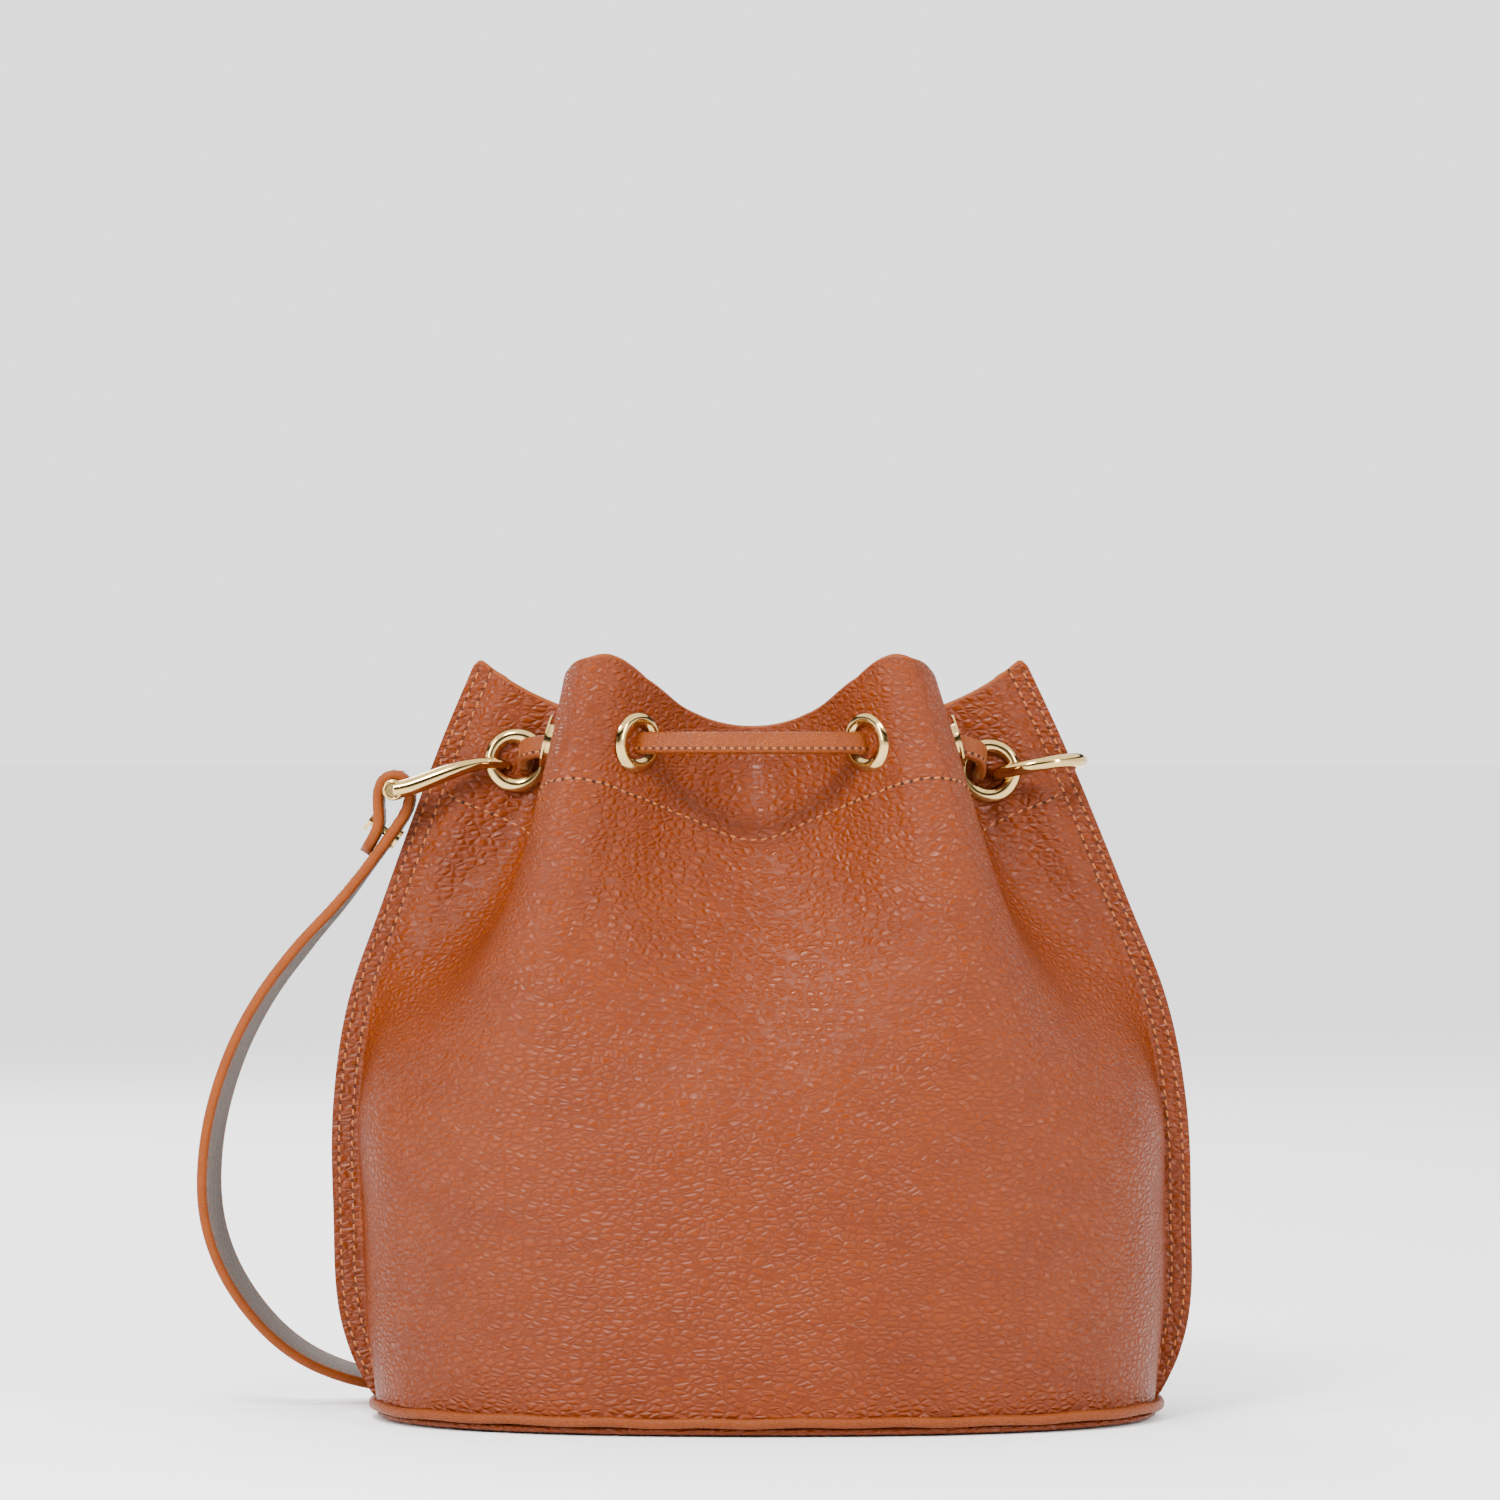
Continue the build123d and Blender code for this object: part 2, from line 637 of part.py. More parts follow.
for before, corner, after in zip(corners, corners[1:], corners[2:]):
    arriving = corner - before
    leaving = after - corner
    half_turn = radians(arriving.get_angle(leaving)) / 2
    strap_radii.append(0.45 * min(arriving.length, leaving.length) / tan(half_turn))
strap_radius = (strap_width * strap_thickness / pi) ** 0.5
with BuildPart() as strap:
    with BuildLine() as strap_path:
        FilletPolyline(*strap_route, radius=strap_radii)
    with BuildSketch(Plane(origin=corners[0], z_dir=corners[1] - corners[0])):
        Circle(strap_radius)
    sweep(path=strap_path.line)
strap.part.label = "strap"
export_step(strap.part, "parts/strap.step")
strap_run = strap_path.wire().length
print("strap radii", [round(radius, 1) for radius in strap_radii], "length", round(strap_run, 1))
print("strap volume over section", round(strap.part.volume / strap_width / strap_thickness, 1))
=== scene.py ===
import math
import random
import bmesh
import bpy
import numpy as np
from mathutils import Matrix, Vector


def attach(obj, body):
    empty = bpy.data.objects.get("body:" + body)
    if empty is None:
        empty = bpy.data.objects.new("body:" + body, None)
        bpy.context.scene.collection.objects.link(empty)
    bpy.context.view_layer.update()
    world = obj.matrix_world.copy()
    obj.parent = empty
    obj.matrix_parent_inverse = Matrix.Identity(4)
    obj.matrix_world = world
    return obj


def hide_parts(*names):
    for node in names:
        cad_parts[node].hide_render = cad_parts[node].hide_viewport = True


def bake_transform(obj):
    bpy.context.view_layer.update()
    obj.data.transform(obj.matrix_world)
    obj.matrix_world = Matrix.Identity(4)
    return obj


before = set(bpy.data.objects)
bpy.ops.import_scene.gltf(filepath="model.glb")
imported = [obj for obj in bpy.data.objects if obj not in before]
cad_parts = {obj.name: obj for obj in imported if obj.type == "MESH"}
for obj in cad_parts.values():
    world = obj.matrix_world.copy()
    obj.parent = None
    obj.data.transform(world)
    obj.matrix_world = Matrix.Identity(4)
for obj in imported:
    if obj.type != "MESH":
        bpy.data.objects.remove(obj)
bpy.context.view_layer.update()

MM = 0.001
random.seed(7)

# ================================================================ camera
# Level, along +Y, far enough for the flat look of a product picture.
CAMERA_AT = (-0.0048, -2.0, 0.193)
CAMERA_LENS = 165.1
CAMERA_SENSOR = 36

camera_data = bpy.data.cameras.new("camera")
camera_data.lens = CAMERA_LENS
camera_data.sensor_width = CAMERA_SENSOR
camera = bpy.data.objects.new("camera", camera_data)
camera.location = CAMERA_AT
camera.rotation_euler = (math.radians(90), 0, 0)
bpy.context.scene.collection.objects.link(camera)
bpy.context.scene.camera = camera


# ================================================================ small helpers
def new_object(name, data):
    made = bpy.data.objects.new(name, data)
    bpy.context.scene.collection.objects.link(made)
    return made


def mesh_object(name, vertices, faces):
    """A smooth-shaded mesh piece; vertices in millimetres."""
    mesh = bpy.data.meshes.new(name)
    mesh.from_pydata([tuple(float(c) * MM for c in v) for v in vertices], [], faces)
    mesh.validate()
    mesh.shade_smooth()
    mesh.update()
    return new_object(name, mesh)


def unit(vector):
    vector = np.asarray(vector, float)
    return vector / max(np.linalg.norm(vector), 1e-9)


def distances(points):
    """Length run at each point of a line."""
    runs = np.linalg.norm(np.diff(points, axis=0), axis=1)
    return np.concatenate([[0], np.cumsum(runs)])


def unit_rows(rows):
    return rows / np.linalg.norm(rows, axis=1)[:, None]


def tangents_of(line):
    return unit_rows(np.gradient(line, axis=0))


def blended(wanted, stations, rows):
    """Each column of rows interpolated at the wanted places."""
    return np.stack([np.interp(wanted, stations, rows[:, c]) for c in range(rows.shape[1])], axis=1)


def resample(points, count=None, step=None):
    """Points evenly spaced along a line, by their number or by their distance."""
    points = np.asarray(points, float)
    along = distances(points)
    if count is None:
        count = max(2, int(round(along[-1] / step)) + 1)
    wanted = np.linspace(0, along[-1], count)
    return blended(wanted, along, points)


def nurbs_points(points, resolution=24):
    """The smooth line of a cord: a NURBS spline with the route's points as its control points."""
    curve = bpy.data.curves.new("route", "CURVE")
    curve.dimensions = "3D"
    spline = curve.splines.new("NURBS")
    spline.points.add(len(points) - 1)
    for point, place in zip(spline.points, points):
        point.co = (place[0] * MM, place[1] * MM, place[2] * MM, 1)
    spline.order_u = 3
    spline.use_endpoint_u = True
    spline.resolution_u = resolution
    holder = new_object("route", curve)
    mesh = bpy.data.meshes.new_from_object(holder)
    line = np.array([v.co for v in mesh.vertices], float) / MM
    bpy.data.objects.remove(holder)
    bpy.data.meshes.remove(mesh)
    return line


def frames_along(line, first_side):
    """Side and up at each point, carried along without twist."""
    tangents = tangents_of(line)
    side = np.asarray(first_side, float)
    sides = []
    for tangent in tangents:
        side = unit(side - tangent * side.dot(tangent))
        sides.append(side)
    sides = np.array(sides)
    return sides, np.cross(tangents, sides)


def sweep(name, line, sides, section, scale=None):
    """Closed section swept along a line, capped at both ends; section points are (side, up)."""
    tangents = tangents_of(line)
    ups = unit_rows(np.cross(tangents, sides))
    sides = np.cross(ups, tangents)
    count = len(section)
    vertices = []
    for i, place in enumerate(line):
        size = 1 if scale is None else scale[i]
        for a, b in section:
            vertices.append(place + sides[i] * a * size + ups[i] * b * size)
    faces = []
    for i in range(len(line) - 1):
        for j in range(count):
            k = (j + 1) % count
            faces.append((i * count + j, i * count + k, (i + 1) * count + k, (i + 1) * count + j))
    for end in (0, len(line) - 1):
        middle = len(vertices)
        vertices.append(line[end])
        for j in range(count):
            faces.append((end * count + j, end * count + (j + 1) % count, middle))
    made = mesh_object(name, vertices, faces)
    fix_normals(made)
    return made


def fix_normals(made):
    work = bmesh.new()
    work.from_mesh(made.data)
    bmesh.ops.recalc_face_normals(work, faces=work.faces)
    work.to_mesh(made.data)
    work.free()


def tube_faces(count, size):
    """Faces of a closed ring of `count` closed sections of `size` points."""
    faces = []
    for i in range(count):
        j = (i + 1) % count
        for k in range(size):
            m = (k + 1) % size
            faces.append((i * size + k, j * size + k, j * size + m, i * size + m))
    return faces


def rounded_section(width, height, radius, steps=4):
    """Rounded rectangle, counter-clockwise."""
    points = []
    for cx, cy, start in (
        (width / 2 - radius, height / 2 - radius, 0),
        (-width / 2 + radius, height / 2 - radius, 90),
        (-width / 2 + radius, -height / 2 + radius, 180),
        (width / 2 - radius, -height / 2 + radius, 270),
    ):
        for i in range(steps + 1):
            angle = math.radians(start + 90 * i / steps)
            points.append((cx + radius * math.cos(angle), cy + radius * math.sin(angle)))
    return points


# One stitch along its length: (share of the length, share of the radius, lift in radii).
STITCH_SHAPE = (
    (-0.5, 0.25, -0.75), (-0.38, 0.85, -0.15), (0, 1.0, 0.1), (0.38, 0.85, -0.15), (0.5, 0.25, -0.75),
)
STITCH_SIDES = 6
STITCH_FLATTEN = 0.8
STITCH_SINK = 0.1
STITCH_UNEVEN = 0.05
STITCH_LOOK = 0.3  # the direction is taken over this length to each side
HOLE_SIDES = 8
HOLE_HALF_LENGTH, HOLE_HALF_WIDTH = 0.62, 0.42
HOLE_LIFT, HOLE_DEPTH = 0.16, 0.12


def stitches(name, line, normals, pitch=3.0, length=2.3, radius=0.38, slant=0.0):
    """A row of thread stitches lying on a surface, with a dark dish of painted shade for the needle hole
    between each two.
    """
    line = np.asarray(line, float)
    normals = np.asarray(normals, float)
    along = distances(line)
    count = int(along[-1] / pitch)
    vertices, faces, kinds = [], [], []
    ring, rows = STITCH_SIDES, len(STITCH_SHAPE)

    def at(values, place):
        return np.array([np.interp(place, along, values[:, c]) for c in range(3)])

    for i in range(count):
        middle = (i + 0.5) * along[-1] / count
        centre = at(line, middle)
        normal = unit(at(normals, middle))
        way = unit(at(line, middle + STITCH_LOOK) - at(line, middle - STITCH_LOOK))
        across = unit(np.cross(normal, way))
        way = unit(way + across * (slant + random.uniform(-STITCH_UNEVEN, STITCH_UNEVEN)))
        across = unit(np.cross(normal, way))
        base = len(vertices)
        for t, size, lift in STITCH_SHAPE:
            for j in range(ring):
                angle = 2 * math.pi * j / ring
                rise = radius * (size * math.sin(angle) * STITCH_FLATTEN + lift) - STITCH_SINK
                vertices.append(
                    centre + way * t * length + across * radius * size * math.cos(angle) + normal * rise
                )
        for r in range(rows - 1):
            for j in range(ring):
                k = (j + 1) % ring
                a = base + r * ring
                faces.append((a + j, a + k, a + ring + k, a + ring + j))
        faces.append(tuple(base + j for j in range(ring))[::-1])
        faces.append(tuple(base + (rows - 1) * ring + j for j in range(ring)))
        kinds += [0] * ((rows - 1) * ring + 2)
        # The needle hole: a small dish between this stitch and the next, coloured dark as painted shade
        # inside the hole.
        hole = centre + way * pitch / 2 + normal * (HOLE_LIFT - STITCH_SINK)
        base = len(vertices)
        vertices.append(hole - normal * HOLE_DEPTH)
        for j in range(HOLE_SIDES):
            angle = 2 * math.pi * j / HOLE_SIDES
            vertices.append(
                hole + way * HOLE_HALF_LENGTH * math.cos(angle) + across * HOLE_HALF_WIDTH * math.sin(angle)
            )
        for j in range(HOLE_SIDES):
            faces.append((base, base + 1 + j, base + 1 + (j + 1) % HOLE_SIDES))
            kinds.append(1)
    made = mesh_object(name, vertices, faces)
    made.data.materials.append(thread)
    made.data.materials.append(needle_hole_shade)
    for face, kind in zip(made.data.polygons, kinds):
        face.material_index = kind
    return made


# ================================================================ materials
def material(name):
    """A new material, its nodes, its links and its shader."""
    made = bpy.data.materials.new(name)
    made.use_nodes = True
    nodes = made.node_tree.nodes
    shader = nodes["Principled BSDF"]
    return made, nodes, made.node_tree.links, shader


def ramp(nodes, stops):
    """A colour ramp; Blender keeps the stops in the order of this list, even where that isn't rising."""
    node = nodes.new("ShaderNodeValToRGB")
    elements = node.color_ramp.elements
    for place, colour in stops[2:]:
        elements.new(place)
    for element, (place, colour) in zip(elements, stops):
        element.position = place
        element.color = (*colour, 1)
    return node


def coordinates(nodes, links, scale):
    place = nodes.new("ShaderNodeTexCoord")
    mapping = nodes.new("ShaderNodeMapping")
    mapping.inputs["Scale"].default_value = scale
    links.new(place.outputs["Object"], mapping.inputs["Vector"])
    return mapping.outputs["Vector"]


def leather_material(name, light, middle, dark, grain, grain_strength, roughness):
    """Pebbled leather: cells of grain, fine pores, slow changes of tone, creases between the pebbles, with
    painted shade darkening the creases.
    """
    made, nodes, links, shader = material(name)
    where = coordinates(nodes, links, (grain * 0.78, grain, grain * 1.45))
    warp = nodes.new("ShaderNodeTexNoise")
    warp.inputs["Scale"].default_value = 0.55
    warp.inputs["Detail"].default_value = 3
    links.new(where, warp.inputs["Vector"])
    mixed = nodes.new("ShaderNodeMixRGB")
    mixed.blend_type = "ADD"
    mixed.inputs["Fac"].default_value = 0.55
    links.new(where, mixed.inputs["Color1"])
    links.new(warp.outputs["Color"], mixed.inputs["Color2"])
    cells = nodes.new("ShaderNodeTexVoronoi")
    cells.feature = "DISTANCE_TO_EDGE"
    cells.inputs["Scale"].default_value = 1.0
    links.new(mixed.outputs["Color"], cells.inputs["Vector"])
    dome = nodes.new("ShaderNodeMapRange")
    dome.interpolation_type = "SMOOTHSTEP"
    dome.inputs["From Max"].default_value = 0.36
    links.new(cells.outputs["Distance"], dome.inputs["Value"])
    pores = nodes.new("ShaderNodeTexNoise")
    pores.inputs["Scale"].default_value = 4.5
    pores.inputs["Detail"].default_value = 4
    links.new(where, pores.inputs["Vector"])
    height = nodes.new("ShaderNodeMath")
    height.operation = "MULTIPLY_ADD"
    height.inputs[1].default_value = 0.16
    links.new(pores.outputs["Fac"], height.inputs[0])
    links.new(dome.outputs["Result"], height.inputs[2])
    bump = nodes.new("ShaderNodeBump")
    bump.inputs["Strength"].default_value = grain_strength
    bump.inputs["Distance"].default_value = 0.0007
    links.new(height.outputs["Value"], bump.inputs["Height"])
    links.new(bump.outputs["Normal"], shader.inputs["Normal"])
    tone = nodes.new("ShaderNodeTexNoise")
    tone.inputs["Scale"].default_value = 0.12
    tone.inputs["Detail"].default_value = 5
    tone.inputs["Roughness"].default_value = 0.6
    links.new(where, tone.inputs["Vector"])
    # In this order the stops give dark to light up to 0.72, and the middle tone above it.
    colours = ramp(nodes, [(0.3, dark), (0.72, light), (0.5, middle)])
    links.new(tone.outputs["Fac"], colours.inputs["Fac"])
    # Painted shade: the colour is darkened towards the cell edges, in the creases between the pebbles.
    crease = nodes.new("ShaderNodeMapRange")
    crease.inputs["From Max"].default_value = 0.16
    crease.inputs["To Min"].default_value = 0.74
    crease.inputs["To Max"].default_value = 1.0
    links.new(cells.outputs["Distance"], crease.inputs["Value"])
    shade = nodes.new("ShaderNodeMixRGB")
    shade.blend_type = "MULTIPLY"
    shade.inputs["Fac"].default_value = 1.0
    links.new(colours.outputs["Color"], shade.inputs["Color1"])
    links.new(crease.outputs["Result"], shade.inputs["Color2"])
    links.new(shade.outputs["Color"], shader.inputs["Base Color"])
    rough = nodes.new("ShaderNodeMapRange")
    rough.inputs["To Min"].default_value = roughness + 0.12
    rough.inputs["To Max"].default_value = roughness - 0.05
    links.new(dome.outputs["Result"], rough.inputs["Value"])
    links.new(rough.outputs["Result"], shader.inputs["Roughness"])
    shader.inputs["Specular IOR Level"].default_value = 0.2
    return made


leather = leather_material(
    "pebbled_leather", (0.142, 0.0222, 0.0003), (0.131, 0.0200, 0.0002), (0.119, 0.0176, 0.0002),
    grain=400, grain_strength=0.6, roughness=0.36,
)
smooth_leather = leather_material(
    "smooth_leather", (0.165, 0.0315, 0.0010), (0.152, 0.0280, 0.0008), (0.138, 0.0250, 0.0006),
    grain=900, grain_strength=0.3, roughness=0.42,
)
edge_paint = leather_material(
    "edge_paint", (0.195, 0.040, 0.0016), (0.180, 0.036, 0.0012), (0.165, 0.032, 0.0010),
    grain=1400, grain_strength=0.1, roughness=0.5,
)


def gold_material():
    """Pale gold plating with faint brushing and handling marks."""
    made, nodes, links, shader = material("pale_gold")
    where = coordinates(nodes, links, (900, 900, 900))
    marks = nodes.new("ShaderNodeTexNoise")
    marks.inputs["Scale"].default_value = 0.6
    marks.inputs["Detail"].default_value = 6
    links.new(where, marks.inputs["Vector"])
    rough = nodes.new("ShaderNodeMapRange")
    rough.inputs["To Min"].default_value = 0.05
    rough.inputs["To Max"].default_value = 0.17
    links.new(marks.outputs["Fac"], rough.inputs["Value"])
    links.new(rough.outputs["Result"], shader.inputs["Roughness"])
    colours = ramp(nodes, [(0.25, (0.50, 0.33, 0.115)), (0.75, (0.62, 0.43, 0.175))])
    links.new(marks.outputs["Fac"], colours.inputs["Fac"])
    links.new(colours.outputs["Color"], shader.inputs["Base Color"])
    shader.inputs["Metallic"].default_value = 1.0
    bump = nodes.new("ShaderNodeBump")
    bump.inputs["Strength"].default_value = 0.04
    bump.inputs["Distance"].default_value = 0.0001
    links.new(marks.outputs["Fac"], bump.inputs["Height"])
    links.new(bump.outputs["Normal"], shader.inputs["Normal"])
    return made


def cloth_material(name, light, dark, scale, strength):
    """Plain weave with uneven yarns."""
    made, nodes, links, shader = material(name)
    where = coordinates(nodes, links, (scale, scale, scale))
    waves = []
    for direction in ("X", "Z"):
        wave = nodes.new("ShaderNodeTexWave")
        wave.bands_direction = direction
        wave.inputs["Scale"].default_value = 1.0
        wave.inputs["Distortion"].default_value = 1.2
        wave.inputs["Detail Scale"].default_value = 0.4
        links.new(where, wave.inputs["Vector"])
        waves.append(wave)
    weave = nodes.new("ShaderNodeMath")
    weave.operation = "MAXIMUM"
    links.new(waves[0].outputs["Fac"], weave.inputs[0])
    links.new(waves[1].outputs["Fac"], weave.inputs[1])
    yarn = nodes.new("ShaderNodeTexNoise")
    yarn.inputs["Scale"].default_value = 2.2
    yarn.inputs["Detail"].default_value = 4
    links.new(where, yarn.inputs["Vector"])
    total = nodes.new("ShaderNodeMath")
    total.operation = "MULTIPLY"
    links.new(weave.outputs["Value"], total.inputs[0])
    links.new(yarn.outputs["Fac"], total.inputs[1])
    colours = ramp(nodes, [(0.15, dark), (0.6, light)])
    links.new(total.outputs["Value"], colours.inputs["Fac"])
    links.new(colours.outputs["Color"], shader.inputs["Base Color"])
    bump = nodes.new("ShaderNodeBump")
    bump.inputs["Strength"].default_value = strength
    bump.inputs["Distance"].default_value = 0.0003
    links.new(total.outputs["Value"], bump.inputs["Height"])
    links.new(bump.outputs["Normal"], shader.inputs["Normal"])
    shader.inputs["Roughness"].default_value = 0.85
    return made


def thread_material():
    made, nodes, links, shader = material("thread")
    where = coordinates(nodes, links, (1800, 1800, 1800))
    twist = nodes.new("ShaderNodeTexWave")
    twist.bands_direction = "DIAGONAL"
    twist.inputs["Scale"].default_value = 1.4
    links.new(where, twist.inputs["Vector"])
    colours = ramp(nodes, [(0.2, (0.16, 0.034, 0.0020)), (0.8, (0.38, 0.105, 0.012))])
    links.new(twist.outputs["Fac"], colours.inputs["Fac"])
    links.new(colours.outputs["Color"], shader.inputs["Base Color"])
    shader.inputs["Roughness"].default_value = 0.6
    return made


def floor_material():
    made, _, _, shader = material("floor")
    shader.inputs["Base Color"].default_value = (0.97, 0.97, 0.97, 1)
    shader.inputs["Roughness"].default_value = 0.9
    return made


gold = gold_material()
thread = thread_material()
# Near-black leather colour for the needle holes: painted shade inside the holes.
needle_hole_shade = leather_material(
    "needle_hole_shade", (0.030, 0.0060, 0.0006), (0.024, 0.0048, 0.0005), (0.018, 0.0036, 0.0004),
    grain=1400, grain_strength=0.2, roughness=0.6,
)
lining_cloth = cloth_material("lining_cloth", (0.20, 0.150, 0.105), (0.10, 0.072, 0.048), 1500, 0.5)
strap_cloth = cloth_material("strap_cloth", (0.20, 0.165, 0.145), (0.045, 0.036, 0.030), 1000, 0.9)

# ================================================================ shape of the bag
# The same sections as the CAD body: height, flange tip, crease, then the line from seam to middle.
LEAN = -4.7 / 220  # the whole bag leans this much to the left as it rises
POWER = 2 / 2.3  # squareness of the oval base
OVAL_ANGLES = (3, 11, 19, 26, 34, 43, 52, 60, 69, 80, 90)
WING = 3.8  # the wings' outer faces stand this far from the seam plane
BOTTOM, TOP = 5, 222  # heights of the lowest and the highest section
LAST = 24  # places along a section: 0 right flange tip, 12 middle, 24 left flange tip


def oval(half_length, half_depth):
    points = []
    for degrees in OVAL_ANGLES:
        angle = math.radians(degrees)
        x = half_length * math.cos(angle) ** POWER if degrees < 90 else 0
        points.append((x, -half_depth * math.sin(angle) ** POWER))
    return points


SECTIONS = [
    (5, 115.5, 113, oval(113, 65)),
    (25, 122.5, 115, oval(115, 66.5)),
    (60, 124.6, 116.5, oval(116.5, 67.3)),
    (90, 124, 116, oval(116, 66)),
    (120, 119, 112, [(109, -5), (103, -12), (97, -18), (91, -25.5), (86.5, -34), (81, -43.5),
                     (73.5, -53), (64, -58.5), (50, -60), (26, -56), (0, -53)]),
    (150, 108, 101, [(97, -WING), (85, -5.5), (76, -9.5), (71.5, -16), (70.5, -28), (70, -42),
                     (64, -52.5), (54, -55.5), (42, -51), (22, -40), (0, -34)]),
    (180, 96.5, 89.5, [(86, -WING), (74, -WING), (64, -WING), (60, -9), (60, -25), (61.5, -42),
                       (55.5, -51.3), (47, -51.2), (35.5, -43.5), (17.5, -27), (0, -18)]),
    (195, 90.5, 83.5, [(80, -WING), (69, -WING), (59, -WING), (55.3, -8), (56.3, -25), (57.5, -42),
                       (51, -50.5), (43, -49), (32.5, -40), (16, -22), (0, -12.5)]),
    (222, 78.5, 71.5, [(69, -WING), (61, -WING), (53.5, -WING), (50, -7), (50, -24), (50.3, -41),
                       (45, -48.5), (38, -47.5), (28.5, -39), (14, -21), (0, -10)]),
]
SEAM = 1.8  # the flanges' outer faces stand this far from the seam plane
# Height of the rim at each point of the section, from the tip of the flange to the middle.
RIM = (220.4, 216.2, 214.8, 210.2, 206.3, 203.0, 206.0, 216.8, 219.8, 219.9, 213.8, 203.7, 200.2)


def cubic(stations, values, wanted):
    """Smooth interpolation through the stations (Catmull-Rom slopes)."""
    stations = np.asarray(stations, float)
    values = np.asarray(values, float)
    slopes = np.zeros_like(values)
    left = (values[1:] - values[:-1]) / (stations[1:] - stations[:-1])[:, None]
    slopes[0] = left[0]
    slopes[-1] = left[-1]
    gap = stations[1:] - stations[:-1]
    slopes[1:-1] = (left[:-1] * gap[1:, None] + left[1:] * gap[:-1, None]) / (gap[1:] + gap[:-1])[:, None]
    index = np.clip(np.searchsorted(stations, wanted) - 1, 0, len(stations) - 2)
    h = stations[index + 1] - stations[index]
    t = ((wanted - stations[index]) / h)[:, None]
    h = h[:, None]
    return (
        (2 * t**3 - 3 * t**2 + 1) * values[index]
        + (t**3 - 2 * t**2 + t) * h * slopes[index]
        + (3 * t**2 - 2 * t**3) * values[index + 1]
        + (t**3 - t**2) * h * slopes[index + 1]
    )


HEIGHTS = [s[0] for s in SECTIONS]
HALF = np.array([[(tip, -SEAM), (crease, -SEAM)] + points for _, tip, crease, points in SECTIONS], float)
FULL = np.concatenate([HALF, HALF[:, -2::-1] * np.array([-1, 1])], axis=1)
INDEX = np.arange(FULL.shape[1], dtype=float)
RIM_FULL = np.array(RIM + RIM[-2::-1])


def line_at(height):
    """The control points of the section at one height."""
    flat = FULL.reshape(len(HEIGHTS), -1)
    return cubic(HEIGHTS, flat, np.array([height]))[0].reshape(-1, 2)


def outline(index, height):
    """Points of the outer face of the front panel at places along the section, at one height."""
    points = line_at(height)
    index = np.atleast_1d(np.asarray(index, float))
    runs = np.maximum(np.linalg.norm(np.diff(points, axis=0), axis=1), 0.5)
    stations = np.concatenate([[0], np.cumsum(runs)])
    lengths = np.interp(index, INDEX, stations)
    inner = cubic(stations[1:-1], points[1:-1], np.clip(lengths, stations[1], stations[-2]))
    flat = blended(lengths, stations, points)
    on_flange = (index < 1) | (index > len(INDEX) - 2)
    return np.where(on_flange[:, None], flat, inner)


# The outer face as a fine table, read back by interpolation.
FINE_STEPS = 960
FINE_U = np.linspace(0, LAST, FINE_STEPS + 1)
FINE_Z = np.arange(BOTTOM, TOP + 0.1, 1.0)
FINE = np.array([outline(FINE_U, z) for z in FINE_Z])
# The lower corners of the side flanges are rounded, down to a share of their width.
FLANGE_ROUND = 13.0
FLANGE_LEAST = 0.12
for row, z in enumerate(FINE_Z):
    if z < BOTTOM + FLANGE_ROUND:
        drop = (BOTTOM + FLANGE_ROUND - z) / FLANGE_ROUND
        keep = FLANGE_LEAST + (1 - FLANGE_LEAST) * math.sqrt(max(0.0, 1 - drop * drop))
        for side, inner in ((FINE_U < 1, 1), (FINE_U > LAST - 1, LAST - 1)):
            crease = np.interp(inner, FINE_U, FINE[row, :, 0])
            FINE[row, side, 0] = crease + (FINE[row, side, 0] - crease) * keep


def lookup(index, height):
    """The outer face read from the fine table."""
    u = np.clip(np.asarray(index, float) / LAST * FINE_STEPS, 0, FINE_STEPS - 0.001)
    v = np.clip(np.asarray(height, float) - BOTTOM, 0, len(FINE_Z) - 1.001)
    iu, iv = u.astype(int), v.astype(int)
    fu, fv = (u - iu)[..., None], (v - iv)[..., None]
    low = FINE[iv, iu] * (1 - fu) + FINE[iv, iu + 1] * fu
    high = FINE[iv + 1, iu] * (1 - fu) + FINE[iv + 1, iu + 1] * fu
    return low * (1 - fv) + high * fv


def from_seam(index):
    """Places counted from the nearer flange tip."""
    return np.minimum(index, LAST - index)


def unevenness(x, y, z, seed):
    """Slow hand-made waves in the leather, in millimetres."""
    return (
        0.38 * np.sin(x * 0.045 + z * 0.031 + seed)
        + 0.30 * np.sin(x * 0.021 - z * 0.052 + seed * 2.1)
        + 0.20 * np.sin(y * 0.09 + z * 0.08 + seed * 0.7)
        + 0.14 * np.sin(x * 0.16 + z * 0.11 + seed * 3.3)
    )


